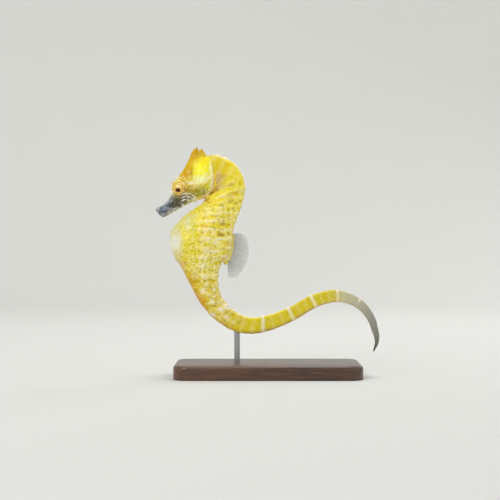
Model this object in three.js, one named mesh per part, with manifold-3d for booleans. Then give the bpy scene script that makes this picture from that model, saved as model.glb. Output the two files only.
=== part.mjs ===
// A yellow seahorse, an adult male, as a still life-size display model on a small stand.
//
// Millimetres, +Z up. The origin is the middle of the stand's underside. The head looks towards -X with
// the snout a little down, the body hangs below it and the tail sweeps out towards +X. The animal's
// mid-plane is Y = 0, and its left side faces -Y.

import * as THREE from 'three';
import { mergeVertices } from 'three/addons/utils/BufferGeometryUtils.js';
import Module from 'manifold-3d';

const wasm = await Module();
wasm.setup();

// ---------------------------------------------------------------- driving dimensions

const GAP = 0.3; // clearance between neighbouring pieces

// Stations along the body. Rings 1-11 girdle the trunk and 12-47 the tail; a whole ring number is that
// ring's crest. Each row is: ring, back edge [x, z], belly edge [x, z], half the width.
const BODY_STATIONS = [
  [-1, [-18.1, 61.3], [-18.1, 52.4], 2.3],
  [0, [-15.1, 62.0], [-17.5, 50.3], 3.1],
  [1, [-11.7, 61.0], [-17.5, 49.8], 3.3],
  [2, [-8.8, 59.1], [-17.7, 49.3], 3.4],
  [3, [-7.0, 56.1], [-18.2, 48.7], 3.5],
  [4, [-6.3, 52.9], [-19.1, 48.0], 3.6],
  [5, [-6.7, 50.0], [-20.5, 47.1], 3.7],
  [7, [-8.0, 45.8], [-23.5, 44.9], 4.0],
  [9, [-9.7, 41.2], [-26.95, 41.0], 4.4],
  [10, [-10.0, 38.6], [-27.5, 38.4], 4.5],
  [11, [-10.4, 36.0], [-27.1, 35.7], 4.4],
  [12, [-11.7, 33.5], [-25.75, 33.1], 4.0],
  [13, [-13.3, 30.9], [-24.2, 30.5], 3.5],
  [15, [-13.9, 25.9], [-21.5, 25.3], 3.0],
  [17, [-12.5, 21.4], [-18.4, 19.85], 2.6],
  [19, [-9.7, 18.5], [-14.0, 15.4], 2.4],
  [21, [-5.9, 16.6], [-7.9, 12.4], 2.2],
  [23, [-1.5, 16.7], [-1.2, 12.5], 2.0],
  [26, [5.6, 19.1], [7.3, 15.8], 1.8],
  [29, [12.0, 22.6], [13.5, 19.4], 1.7],
  [32, [19.2, 24.2], [19.3, 20.9], 1.55],
  [35, [25.8, 21.8], [24.3, 19.6], 1.35],
  [38, [29.5, 17.4], [27.6, 16.4], 1.1],
  [41, [30.9, 13.2], [29.2, 12.7], 0.85],
  [44, [31.1, 9.8], [30.0, 9.8], 0.6],
  [47, [29.8, 6.9], [29.4, 7.1], 0.2],
];
const SECTIONS_PER_RING = 2;

// Half outlines of the body, from the back's middle to the belly's, as [up, out] in half depths and half
// widths. In each the 2nd, 4th and 6th points are the superior, lateral and inferior ridges.
const NECK_OUTLINE = [
  [1, 0], [0.93, 0.36], [0.62, 0.78], [0.15, 1], [-0.3, 0.95], [-0.66, 0.74], [-0.9, 0.4], [-1, 0],
];
const TRUNK_OUTLINE = [
  [0.97, 0], [0.98, 0.44], [0.64, 0.8], [0.22, 1], [-0.18, 0.9], [-0.56, 0.74], [-0.84, 0.34], [-1, 0],
];
const POUCH_OUTLINE = [
  [0.96, 0], [0.98, 0.58], [0.58, 0.88], [0.12, 1], [-0.38, 1], [-0.76, 0.84], [-0.95, 0.48], [-1, 0],
];
const TAIL_OUTLINE = [
  [0.93, 0], [1, 0.82], [0.55, 0.95], [0, 0.93], [-0.55, 0.95], [-1, 0.8], [-0.96, 0.4], [-0.94, 0],
];
const OUTLINE_BY_RING = [
  [-1, NECK_OUTLINE],
  [3, NECK_OUTLINE],
  [6, TRUNK_OUTLINE],
  [11, TRUNK_OUTLINE],
  [13.5, POUCH_OUTLINE],
  [16, POUCH_OUTLINE],
  [20, TAIL_OUTLINE],
  [47, TAIL_OUTLINE],
];
const RIDGE_RISE = 0.045; // how far a ring stands out on the ridges, in half widths
const FLAT_RISE = 0.012; // and between them
const FIRST_FULL_RING = 4; // the rings of the nape are low, and rise to full height here

// Where one length of the body ends and the next begins, in rings.
const NECK_START = -1;
const TRUNK_START = 4.5;
const TAIL_STARTS = [11.5, 17.5, 23.5, 29.5, 35.5, 41.5];
const TAIL_TIP = 47;

// The brood pouch: its edge on the tail's side, as [ring, up].
const POUCH_EDGE = [
  [11.7, -1.6], [11.9, -0.7], [12.8, -0.12], [14.3, 0], [15.8, -0.12], [17, -0.7], [17.3, -1.6],
];

// Head, in its own frame: "along" runs from the mouth to the gill, "up" is square to it.
const MOUTH = [-30.25, 45.9];
const HEAD_TILT = THREE.MathUtils.degToRad(34);
// Each row is: along, top, bottom, half the width, how much narrower the top is than the bottom.
const SNOUT_STATIONS = [
  [-0.5, 1.2, -0.5, 0.6, 0],
  [-0.1, 1.5, -1.4, 1.0, 0],
  [0.5, 1.5, -1.75, 1.15, 0],
  [1.7, 1.4, -1.95, 1.1, 0],
  [3.4, 1.5, -2.05, 1.15, 0],
  [4.75, 1.85, -2.15, 1.4, 0.05],
];
const HEAD_STATIONS = [
  [5.05, 2.1, -2.15, 1.5, 0.08],
  [5.9, 3.1, -2.2, 1.85, 0.15],
  [7.0, 4.2, -2.35, 2.15, 0.25],
  [8.1, 4.95, -2.45, 2.4, 0.32],
  [9.5, 5.38, -2.7, 2.65, 0.38],
  [10.9, 5.75, -3.2, 2.9, 0.42],
  [12.6, 6.5, -3.7, 3.15, 0.42],
  [14.3, 7.35, -4.0, 3.25, 0.4],
  [16.0, 7.75, -3.7, 3.1, 0.35],
  [17.6, 7.45, -2.7, 2.7, 0.3],
  [19.0, 6.4, -1.2, 2.1, 0.3],
];
const HEAD_SIDE_POINTS = 8; // steps from the top of a head section to its bottom

// Spines: [along, up, half width of the head there] of the root, then of the tip, and the root's radius.
const NOSE_SPINE = { root: [6.5, 2.7], tip: [5.3, 3.2], out: 0, rootRadius: 0.62, tipRadius: 0.2 };
const BROW_SPINE = { root: [7.9, 4.3], tip: [7.5, 4.95], out: 1.3, rootRadius: 0.55, tipRadius: 0.25 };
const CHEEK_SPINE = { root: [10.2, -2.1], tip: [10.0, -3.05], out: 1.15, rootRadius: 0.7, tipRadius: 0.2 };

// Eyes.
const EYE_CENTRE = [8.2, 2.4];
const EYE_OUT = 1.8; // from the mid-plane to the middle of the eyeball
const EYE_RADIUS = 1.8;
const EYE_HALF_THICKNESS = 1.3;
const ORBIT_RADIUS = 2.25;
const ORBIT_HALF_THICKNESS = 1.35;
const ORBIT_OUT = 1.45;

// Coronet: rows of x at the front and back edges, z, half the width.
const CORONET_STATIONS = [
  [-23.2, -16.0, 58.6, 1.6],
  [-22.35, -16.5, 60.4, 1.3],
  [-21.7, -17.1, 61.9, 1.0],
  [-21.3, -17.7, 62.8, 0.85],
  [-21.0, -18.05, 63.6, 0.75],
];
const CORONET_POINTS = 5;
const CORONET_POINT_HEIGHT = 0.65;

// The seams between the head, the coronet and the neck, as [x, z].
const CORONET_SEAM = [[-24.6, 59.2], [-22.6, 60.2], [-19.6, 61.4], [-16.6, 62.0]];
const GILL_SEAM = [[-16.6, 62.0], [-15.3, 59.5], [-14.6, 55.3], [-15.3, 52.0], [-17.1, 49.6], [-18.5, 46.5]];

// Dorsal fin: a fleshy base on the back and a fan of rays.
const FIN_BASE = { centre: [-11.0, 35.7], halfLength: 4.6, halfHeight: 1.4, halfWidth: 1.2, lean: 13 };
const DORSAL_ROOT = [[-9.2, 39.9], [-8.2, 35.6], [-11.0, 31.4]];
const DORSAL_MARGIN = [
  [-7.5, 40.3], [-6.1, 39.0], [-5.35, 36.3], [-5.5, 33.4], [-6.6, 30.5], [-8.6, 28.0], [-11.1, 27.4],
];
const DORSAL_RAYS = 17;
const FIN_THICKNESS = 0.5;
const RAY_THICKNESS = 0.7;

// Pectoral fins, one behind each gill cover, spread out from the neck: [x, out, z].
const PECTORAL_ROOT = [[-14.2, 3.75, 56.7], [-13.9, 3.8, 55.2], [-14.2, 3.75, 53.7]];
const PECTORAL_MARGIN = [
  [-13.4, 4.45, 57.5], [-12.5, 4.85, 56.8], [-12.15, 5.0, 55.2], [-12.5, 4.85, 53.7], [-13.4, 4.45, 53.0],
];
const PECTORAL_RAYS = 15;

// Anal fin: tiny, on the keel where the trunk ends.
const ANAL_ROOT = [[-26.5, 33.8], [-26.2, 33.1], [-25.85, 32.4]];
const ANAL_MARGIN = [[-27.05, 33.4], [-26.85, 32.6], [-26.35, 31.9]];
const ANAL_RAYS = 4;

// Stand.
const BASE_LENGTH = 52;
const BASE_WIDTH = 27;
const BASE_HEIGHT = 4;
const BASE_CORNER = 4;
const BASE_CHAMFER = 0.6;
const ROD_RADIUS = 0.8;
const ROD_X = -8.6;
const ROD_FOOT_Z = 1.5;
const ROD_TOP_Z = 15.2; // inside the body
const ROD_SIDES = 24;

// ---------------------------------------------------------------- solids and meshes

function toSolid(geometry) {
  const bare = geometry.clone();
  bare.deleteAttribute('normal');
  bare.deleteAttribute('uv');
  const merged = mergeVertices(bare, 1e-5);
  const mesh = new wasm.Mesh({
    numProp: 3,
    vertProperties: new Float32Array(merged.attributes.position.array),
    triVerts: new Uint32Array(merged.index.array),
  });
  return new wasm.Manifold(mesh);
}

function toGeometry(solid) {
  const mesh = solid.getMesh();
  const geometry = new THREE.BufferGeometry();
  geometry.setAttribute('position', new THREE.BufferAttribute(new Float32Array(mesh.vertProperties), 3));
  geometry.setIndex(new THREE.BufferAttribute(new Uint32Array(mesh.triVerts), 1));
  geometry.computeVertexNormals();
  return geometry;
}

function volumeOf(points, faces) {
  let volume = 0;
  for (const [a, b, c] of faces) {
    volume += points[a].dot(points[b].clone().cross(points[c])) / 6;
  }
  return volume;
}

// A closed skin over rows of points, each row a closed loop with the same number of points, with a fan
// over the first and the last row.
function loft(rows) {
  const count = rows[0].length;
  const points = rows.flat();
  const faces = [];
  for (let row = 0; row < rows.length - 1; row += 1) {
    for (let column = 0; column < count; column += 1) {
      const next = (column + 1) % count;
      const a = row * count + column;
      const b = row * count + next;
      faces.push([a, b, b + count], [a, b + count, a + count]);
    }
  }
  for (const [start, forward] of [[0, false], [(rows.length - 1) * count, true]]) {
    const middle = new THREE.Vector3();
    for (let column = 0; column < count; column += 1) {
      middle.addScaledVector(points[start + column], 1 / count);
    }
    points.push(middle);
    for (let column = 0; column < count; column += 1) {
      const here = start + column;
      const next = start + ((column + 1) % count);
      faces.push(forward ? [here, next, points.length - 1] : [next, here, points.length - 1]);
    }
  }
  const outward = volumeOf(points, faces) > 0;
  const geometry = new THREE.BufferGeometry().setFromPoints(points);
  geometry.setIndex(faces.map(([a, b, c]) => (outward ? [a, b, c] : [a, c, b])).flat());
  geometry.computeVertexNormals();
  return geometry;
}

// The region inside an outline in the mid-plane, right through the animal.
function region(outline) {
  const depth = 20;
  const shape = new THREE.Shape(outline.map(([x, z]) => new THREE.Vector2(x, z)));
  const geometry = new THREE.ExtrudeGeometry(shape, { depth, bevelEnabled: false });
  geometry.translate(0, 0, -depth / 2);
  geometry.rotateX(Math.PI / 2);
  return toSolid(geometry);
}

function ellipsoid(centre, radii, columns = 20, rows = 12) {
  const geometry = new THREE.SphereGeometry(1, columns, rows);
  geometry.scale(...radii);
  geometry.translate(...centre);
  return geometry;
}

function mirrored(points) {
  return points.map((point) => new THREE.Vector3(point.x, -point.y, point.z));
}

// ---------------------------------------------------------------- body

// Cubic interpolation through rows of [position, ...values].
function interpolate(rows, position) {
  const last = rows.length - 1;
  let index = rows.findIndex((row) => row[0] > position) - 1;
  if (index < 0) index = position < rows[0][0] ? 0 : last - 1;
  const slope = (k, column) => {
    const before = rows[Math.max(k - 1, 0)];
    const after = rows[Math.min(k + 1, last)];
    return (after[column] - before[column]) / (after[0] - before[0]);
  };
  const span = rows[index + 1][0] - rows[index][0];
  const t = (position - rows[index][0]) / span;
  const weights = [2 * t ** 3 - 3 * t ** 2 + 1, (t ** 3 - 2 * t ** 2 + t) * span];
  weights.push(3 * t ** 2 - 2 * t ** 3, (t ** 3 - t ** 2) * span);
  return rows[index].slice(1).map((_, k) => {
    const column = k + 1;
    return weights[0] * rows[index][column] + weights[1] * slope(index, column)
      + weights[2] * rows[index + 1][column] + weights[3] * slope(index + 1, column);
  });
}

const BODY_ROWS = BODY_STATIONS.map(([ring, back, belly, halfWidth]) => [ring, ...back, ...belly, halfWidth]);

// The middle, the direction to the back, half the depth and half the width at a ring.
function bodyAt(ring) {
  const [backX, backZ, bellyX, bellyZ, halfWidth] = interpolate(BODY_ROWS, ring);
  const middle = new THREE.Vector3((backX + bellyX) / 2, 0, (backZ + bellyZ) / 2);
  const toBack = new THREE.Vector3(backX - bellyX, 0, backZ - bellyZ);
  const halfDepth = toBack.length() / 2;
  return { middle, up: toBack.normalize(), halfDepth, halfWidth };
}

function bodyPoint(ring, up) {
  const { middle, up: direction, halfDepth } = bodyAt(ring);
  const point = middle.clone().addScaledVector(direction, up * halfDepth);
  return [point.x, point.z];
}

function outlineAt(ring) {
  const after = OUTLINE_BY_RING.findIndex(([position]) => position >= ring);
  const [to, toOutline] = OUTLINE_BY_RING[Math.max(after, 1)];
  const [from, fromOutline] = OUTLINE_BY_RING[Math.max(after, 1) - 1];
  const share = (ring - from) / (to - from);
  const mix = (value, target) => value + (target - value) * share;
  return fromOutline.map((pair, k) => pair.map((value, axis) => mix(value, toOutline[k][axis])));
}

// One cross-section: from the back's middle down the right side to the belly, and up the left side.
function bodySection(ring) {
  const { middle, up, halfDepth, halfWidth } = bodyAt(ring);
  const crest = Math.cos(2 * Math.PI * ring);
  const strength = THREE.MathUtils.clamp((ring - NECK_START) / (FIRST_FULL_RING - NECK_START), 0.15, 1);
  const right = outlineAt(ring).map(([upShare, outShare], k) => {
    const rise = (k % 2 === 1 ? RIDGE_RISE : FLAT_RISE) * crest * strength * halfWidth;
    const length = Math.hypot(upShare, outShare);
    const point = middle.clone().addScaledVector(up, upShare * halfDepth + (rise * upShare) / length);
    point.y = outShare * halfWidth + (rise * outShare) / length;
    return point;
  });
  return [...right, ...mirrored(right.slice(1, -1)).reverse()];
}

function bodyLength(from, to) {
  const steps = Math.max(1, Math.round((to - from) * SECTIONS_PER_RING));
  const rows = [];
  for (let k = 0; k <= steps; k += 1) {
    rows.push(bodySection(from + ((to - from) * k) / steps));
  }
  return loft(rows);
}

// The same length, ended half a gap short on each side.
function trimmedLength(from, to) {
  const shorten = (ring) => GAP / 2 / bodyAt(ring - 0.5).middle.distanceTo(bodyAt(ring + 0.5).middle);
  const end = to === TAIL_TIP ? to : to - shorten(to);
  return bodyLength(from + shorten(from), end);
}

// ---------------------------------------------------------------- head

function headPoint(along, up, out = 0) {
  const x = MOUTH[0] + along * Math.cos(HEAD_TILT) - up * Math.sin(HEAD_TILT);
  const z = MOUTH[1] + along * Math.sin(HEAD_TILT) + up * Math.cos(HEAD_TILT);
  return new THREE.Vector3(x, out, z);
}

function headSection([along, top, bottom, halfWidth, narrowing]) {
  const middle = (top + bottom) / 2;
  const halfDepth = (top - bottom) / 2;
  const right = [];
  for (let k = 0; k <= HEAD_SIDE_POINTS; k += 1) {
    const angle = (Math.PI * k) / HEAD_SIDE_POINTS;
    const out = halfWidth * Math.sin(angle) * (1 - narrowing * Math.cos(angle));
    right.push(headPoint(along, middle + halfDepth * Math.cos(angle), out));
  }
  return [...right, ...mirrored(right.slice(1, -1)).reverse()];
}

// A blunt thorn from a root to a tip, both [along, up] in the head's frame.
function spine({ root, tip, out, rootRadius, tipRadius }, side) {
  const from = headPoint(...root, out * side);
  const to = headPoint(...tip, out * side * 1.15);
  const length = from.distanceTo(to);
  const geometry = new THREE.CylinderGeometry(tipRadius, rootRadius, length, 8);
  geometry.translate(0, length / 2, 0);
  const direction = to.clone().sub(from).normalize();
  const turn = new THREE.Quaternion().setFromUnitVectors(new THREE.Vector3(0, 1, 0), direction);
  geometry.applyQuaternion(turn);
  geometry.translate(from.x, from.y, from.z);
  return toSolid(geometry);
}

function eyeShape(side, grow) {
  const centre = headPoint(...EYE_CENTRE, EYE_OUT * side);
  const radius = EYE_RADIUS + grow;
  return ellipsoid(centre.toArray(), [radius, EYE_HALF_THICKNESS + grow, radius]);
}

function orbit(side) {
  const centre = headPoint(...EYE_CENTRE, ORBIT_OUT * side);
  return toSolid(ellipsoid(centre.toArray(), [ORBIT_RADIUS, ORBIT_HALF_THICKNESS, ORBIT_RADIUS], 24, 12));
}

// A low crown, a wedge that narrows upwards, with points round its top edge. The first is at the front.
function coronet() {
  const steps = 2 * CORONET_POINTS;
  const rows = CORONET_STATIONS.map(([front, back, z, halfWidth], row) => {
    const top = row === CORONET_STATIONS.length - 1;
    const loop = [];
    for (let k = 0; k < steps; k += 1) {
      const angle = (2 * Math.PI * k) / steps;
      const x = (front + back) / 2 + ((front - back) / 2) * Math.cos(angle);
      const point = k % 2 === 0 && top ? CORONET_POINT_HEIGHT : 0;
      loop.push(new THREE.Vector3(x, halfWidth * Math.sin(angle), z + point));
    }
    return loop;
  });
  return toSolid(loft(rows));
}

function headAndNeck() {
  let whole = toSolid(loft(HEAD_STATIONS.map(headSection)));
  whole = whole.add(toSolid(bodyLength(NECK_START, TRUNK_START)));
  whole = whole.add(coronet());
  for (const side of [-1, 1]) {
    whole = whole.add(orbit(side));
    whole = whole.add(spine(BROW_SPINE, side));
    whole = whole.add(spine(CHEEK_SPINE, side));
    whole = whole.subtract(toSolid(eyeShape(side, GAP)));
  }
  return whole.add(spine(NOSE_SPINE, 0));
}

// Outlines of the three regions, with a gap along the seams.
function headRegion() {
  const farLeft = -40;
  return region([[farLeft, 30], [farLeft, 59.2], ...CORONET_SEAM, ...GILL_SEAM.slice(1), [-18.5, 30]]);
}

function coronetRegion() {
  const raised = CORONET_SEAM.map(([x, z]) => [x - GAP / 2, z + GAP]);
  return region([[-40, 59.2 + GAP], ...raised, [-16.4, 62.4], [-14.4, 70], [-40, 70]]);
}

function neckRegion() {
  const shifted = GILL_SEAM.map(([x, z]) => [x + GAP * 1.15, z]);
  return region([...shifted, [-18.5 + GAP, 30], [20, 30], [20, 70], [-14, 70]]);
}

// ---------------------------------------------------------------- fins

// A thin closed fan: a quadratic curve for the root, a smooth margin, and ridges where the rays run.
function fan(root, margin, rays, sideways) {
  const rootCurve = new THREE.QuadraticBezierCurve3(...root);
  const marginCurve = new THREE.CatmullRomCurve3(margin);
  const rows = [];
  for (let k = 0; k <= 2 * (rays - 1); k += 1) {
    const share = k / (2 * (rays - 1));
    const halfThickness = (k % 2 === 0 ? RAY_THICKNESS : FIN_THICKNESS) / 2;
    const from = rootCurve.getPoint(share);
    const to = marginCurve.getPoint(share);
    const waist = from.clone().lerp(to, 0.6);
    const offset = sideways.clone().multiplyScalar(halfThickness);
    const thin = sideways.clone().multiplyScalar(FIN_THICKNESS / 2);
    rows.push([
      from.clone().add(offset), waist.clone().add(offset), to.clone().add(thin),
      to.clone().sub(thin), waist.clone().sub(offset), from.clone().sub(offset),
    ]);
  }
  return loft(rows);
}

function middlePlane(points) {
  return points.map(([x, z]) => new THREE.Vector3(x, 0, z));
}

function pectoralFin(side) {
  const place = ([x, out, z]) => new THREE.Vector3(x, out * side, z);
  const sideways = new THREE.Vector3(-0.5, 0.866 * side, 0);
  return fan(PECTORAL_ROOT.map(place), PECTORAL_MARGIN.map(place), PECTORAL_RAYS, sideways);
}

function finBase(grow = 0) {
  const { centre, halfLength, halfHeight, halfWidth, lean } = FIN_BASE;
  const geometry = ellipsoid([0, 0, 0], [halfHeight + grow, halfWidth + grow, halfLength + grow], 12, 12);
  geometry.rotateY(THREE.MathUtils.degToRad(lean));
  geometry.translate(centre[0], 0, centre[1]);
  return toSolid(geometry);
}

// ---------------------------------------------------------------- stand

function rodHole() {
  const height = ROD_TOP_Z + GAP - (ROD_FOOT_Z - GAP);
  const geometry = new THREE.CylinderGeometry(ROD_RADIUS + GAP, ROD_RADIUS + GAP, height, ROD_SIDES);
  geometry.rotateX(Math.PI / 2);
  geometry.translate(ROD_X, 0, ROD_FOOT_Z - GAP + height / 2);
  return toSolid(geometry);
}

function standRod() {
  const height = ROD_TOP_Z - ROD_FOOT_Z;
  const geometry = new THREE.CylinderGeometry(ROD_RADIUS, ROD_RADIUS, height, ROD_SIDES);
  geometry.rotateX(Math.PI / 2);
  geometry.translate(ROD_X, 0, ROD_FOOT_Z + height / 2);
  return geometry;
}

function standBase() {
  const halfLength = BASE_LENGTH / 2 - BASE_CHAMFER;
  const halfWidth = BASE_WIDTH / 2 - BASE_CHAMFER;
  const corner = BASE_CORNER - BASE_CHAMFER;
  const shape = new THREE.Shape();
  const corners = [[1, 1, 0], [-1, 1, 90], [-1, -1, 180], [1, -1, 270]];
  for (const [sideX, sideY, start] of corners) {
    const from = THREE.MathUtils.degToRad(start);
    const x = sideX * (halfLength - corner);
    const y = sideY * (halfWidth - corner);
    shape.absarc(x, y, corner, from, from + Math.PI / 2, false);
  }
  const depth = BASE_HEIGHT - 2 * BASE_CHAMFER;
  const bevel = { bevelThickness: BASE_CHAMFER, bevelSize: BASE_CHAMFER, bevelSegments: 2 };
  const geometry = new THREE.ExtrudeGeometry(shape, { depth, curveSegments: 6, ...bevel });
  geometry.translate(0, 0, BASE_CHAMFER);
  return toSolid(geometry);
}

// ---------------------------------------------------------------- assembly

const YELLOW = { color: 0xe4d766, roughness: 0.55, metalness: 0 };
const OCHRE = { color: 0xc6aa4b, roughness: 0.55, metalness: 0 };
const DEEP_YELLOW = { color: 0xcfbe49, roughness: 0.55, metalness: 0 };
const GREY = { color: 0x97947f, roughness: 0.55, metalness: 0 };
const SNOUT_GREY = { color: 0x70684f, roughness: 0.45, metalness: 0 };
const CROWN_GOLD = { color: 0xcda716, roughness: 0.55, metalness: 0 };
const EYE_GOLD = { color: 0xdcc068, roughness: 0.1, metalness: 0 };
const FIN_CLEAR = { color: 0xb8b48e, roughness: 0.35, metalness: 0 };
const WALNUT = { color: 0x4a2c1a, roughness: 0.4, metalness: 0 };
const STEEL = { color: 0xa8a9ad, roughness: 0.3, metalness: 1 };

const seahorse = new THREE.Group();

function addPiece(name, geometry, look) {
  const mesh = new THREE.Mesh(geometry, new THREE.MeshStandardMaterial(look));
  mesh.name = name;
  seahorse.add(mesh);
}

// Head, coronet, snout and neck.
const whole = headAndNeck();
const mouth = headPoint(-0.35, 0.1);
const mouthHollow = toSolid(ellipsoid(mouth.toArray(), [0.9, 0.6, 0.9], 12, 8));
const snout = toSolid(loft(SNOUT_STATIONS.map(headSection)));
addPiece('snout', toGeometry(snout.subtract(mouthHollow)), SNOUT_GREY);
addPiece('head', toGeometry(whole.intersect(headRegion())), YELLOW);
addPiece('coronet', toGeometry(whole.intersect(coronetRegion())), CROWN_GOLD);
addPiece('neck', toGeometry(whole.intersect(neckRegion())), YELLOW);
addPiece('eye_left', eyeShape(-1, 0), EYE_GOLD);
addPiece('eye_right', eyeShape(1, 0), EYE_GOLD);

// Trunk, with the fleshy base of the dorsal fin.
const trunk = toSolid(trimmedLength(TRUNK_START, TAIL_STARTS[0])).add(finBase());
addPiece('trunk', toGeometry(trunk), YELLOW);

// Tail base and brood pouch.
const tailBase = toSolid(trimmedLength(TAIL_STARTS[0], TAIL_STARTS[1])).subtract(finBase(GAP));
const pouchEdge = POUCH_EDGE.map(([ring, up]) => bodyPoint(ring, up));
const pouchEdgeGrown = POUCH_EDGE.map(([ring, up], k) => {
  const towardsMiddle = Math.sign((POUCH_EDGE.length - 1) / 2 - k);
  return bodyPoint(ring - 0.14 * towardsMiddle, up + GAP / bodyAt(ring).halfDepth);
});
addPiece('brood_pouch', toGeometry(tailBase.intersect(region(pouchEdge))), OCHRE);
addPiece('tail_base', toGeometry(tailBase.subtract(region(pouchEdgeGrown))), DEEP_YELLOW);

// The rest of the tail, in lengths.
TAIL_STARTS.slice(1).forEach((start, k) => {
  const end = TAIL_STARTS[k + 2] ?? TAIL_TIP;
  let length = toSolid(trimmedLength(start, end));
  if (k === 0) length = length.subtract(rodHole());
  addPiece(`tail_${k + 1}`, toGeometry(length), k < 3 ? DEEP_YELLOW : GREY);
});

// Fins.
const acrossBody = new THREE.Vector3(0, 1, 0);
const dorsalFin = fan(middlePlane(DORSAL_ROOT), middlePlane(DORSAL_MARGIN), DORSAL_RAYS, acrossBody);
addPiece('dorsal_fin', dorsalFin, FIN_CLEAR);
const analFin = fan(middlePlane(ANAL_ROOT), middlePlane(ANAL_MARGIN), ANAL_RAYS, acrossBody);
addPiece('anal_fin', analFin, FIN_CLEAR);
addPiece('pectoral_fin_left', pectoralFin(-1), FIN_CLEAR);
addPiece('pectoral_fin_right', pectoralFin(1), FIN_CLEAR);

// Stand.
addPiece('stand_base', toGeometry(standBase().subtract(rodHole())), WALNUT);
addPiece('stand_rod', standRod(), STEEL);

export default seahorse;
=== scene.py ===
import math
import random
from types import SimpleNamespace

import bmesh
import bpy
import numpy as np
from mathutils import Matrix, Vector


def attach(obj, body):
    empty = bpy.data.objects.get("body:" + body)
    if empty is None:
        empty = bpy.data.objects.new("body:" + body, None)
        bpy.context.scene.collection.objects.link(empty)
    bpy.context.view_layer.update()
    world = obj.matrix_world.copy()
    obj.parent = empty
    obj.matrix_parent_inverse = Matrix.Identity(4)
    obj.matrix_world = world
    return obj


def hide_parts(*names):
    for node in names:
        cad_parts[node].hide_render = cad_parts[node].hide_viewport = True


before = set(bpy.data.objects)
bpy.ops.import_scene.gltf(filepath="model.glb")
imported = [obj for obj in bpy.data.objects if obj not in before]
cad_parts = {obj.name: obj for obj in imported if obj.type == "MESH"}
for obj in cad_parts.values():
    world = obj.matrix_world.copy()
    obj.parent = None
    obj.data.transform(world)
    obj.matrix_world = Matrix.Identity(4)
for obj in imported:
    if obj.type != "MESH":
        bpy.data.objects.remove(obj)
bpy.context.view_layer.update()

# A male yellow seahorse as a painted, life-size museum model on a small stand. Sizes are millimetres in the
# frame's axes and become metres when a mesh is made. The animal's mid-plane is Y = 0, and its head points
# to -X.
MM = 0.001
PER_MM = 1 / MM  # a pattern's scale is this, divided by the size of its features in millimetres

# -------------------------------------------------------------------------------- sizes

# Body stations, as the frame's solids have them. Rings 1-11 girdle the trunk and 12-47 the tail.
# Each row is: ring, back edge x, z, belly edge x, z, half the width.
BODY_STATIONS = np.array([
    (-1, -18.1, 61.3, -18.1, 52.4, 2.3),
    (0, -15.1, 62.0, -17.5, 50.3, 3.1),
    (1, -11.7, 61.0, -17.5, 49.8, 3.3),
    (2, -8.8, 59.1, -17.7, 49.3, 3.4),
    (3, -7.0, 56.1, -18.2, 48.7, 3.5),
    (4, -6.3, 52.9, -19.1, 48.0, 3.6),
    (5, -6.7, 50.0, -20.5, 47.1, 3.7),
    (7, -8.0, 45.8, -23.5, 44.9, 4.0),
    (9, -9.7, 41.2, -26.95, 41.0, 4.4),
    (10, -10.0, 38.6, -27.5, 38.4, 4.5),
    (11, -10.4, 36.0, -27.1, 35.7, 4.4),
    (12, -11.7, 33.5, -25.75, 33.1, 4.0),
    (13, -13.3, 30.9, -24.2, 30.5, 3.5),
    (15, -13.9, 25.9, -21.5, 25.3, 3.0),
    (17, -12.5, 21.4, -18.4, 19.85, 2.6),
    (19, -9.7, 18.5, -14.0, 15.4, 2.4),
    (21, -5.9, 16.6, -7.9, 12.4, 2.2),
    (23, -1.5, 16.7, -1.2, 12.5, 2.0),
    (26, 5.6, 19.1, 7.3, 15.8, 1.8),
    (29, 12.0, 22.6, 13.5, 19.4, 1.7),
    (32, 19.2, 24.2, 19.3, 20.9, 1.55),
    (35, 25.8, 21.8, 24.3, 19.6, 1.35),
    (38, 29.5, 17.4, 27.6, 16.4, 1.1),
    (41, 30.9, 13.2, 29.2, 12.7, 0.85),
    (44, 31.1, 9.8, 30.0, 9.8, 0.6),
    (47, 29.8, 6.9, 29.4, 7.1, 0.2),
])
FIRST_RING, LAST_RING = -1.0, 47.0
RING_STEP = 0.125
PLACE_STEP = 0.1  # rings between the stations that a point's place is looked up in
GIRTH_BINS = 64  # angles from the back to the belly that a distance round the body is looked up in

# Half outlines of the body, from the back's middle to the belly's, as (up, out) in half depths and widths.
# The 2nd, 4th and 6th points are the superior, lateral and inferior ridges.
NECK_OUTLINE = (
    (1, 0), (0.93, 0.36), (0.62, 0.78), (0.15, 1), (-0.3, 0.95), (-0.66, 0.74), (-0.9, 0.4), (-1, 0),
)
TRUNK_OUTLINE = (
    (0.97, 0), (0.98, 0.44), (0.64, 0.8), (0.22, 1), (-0.18, 0.9), (-0.56, 0.74), (-0.84, 0.34), (-1, 0),
)
POUCH_OUTLINE = (
    (0.96, 0), (0.98, 0.58), (0.58, 0.88), (0.12, 1), (-0.38, 1), (-0.76, 0.84), (-0.95, 0.48), (-1, 0),
)
TAIL_OUTLINE = (
    (0.93, 0), (1, 0.82), (0.55, 0.95), (0, 0.93), (-0.55, 0.95), (-1, 0.8), (-0.96, 0.4), (-0.94, 0),
)
OUTLINE_RINGS = (-1, 3, 6, 11, 13.5, 16, 20, 47)
OUTLINES = np.array([
    NECK_OUTLINE, NECK_OUTLINE, TRUNK_OUTLINE, TRUNK_OUTLINE,
    POUCH_OUTLINE, POUCH_OUTLINE, TAIL_OUTLINE, TAIL_OUTLINE,
])
SUPERIOR, LATERAL, INFERIOR = 1, 3, 5
OUTLINE_POINTS = len(NECK_OUTLINE)
OUTLINE_STEPS = 5  # points from one outline point to the next

# The head has its own axes: "along" from the mouth to the gill, "up" square to it.
MOUTH = np.array((-30.25, 45.9))
HEAD_TILT = math.radians(34)
ALONG = np.array((math.cos(HEAD_TILT), math.sin(HEAD_TILT)))
UP = np.array((-math.sin(HEAD_TILT), math.cos(HEAD_TILT)))
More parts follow.
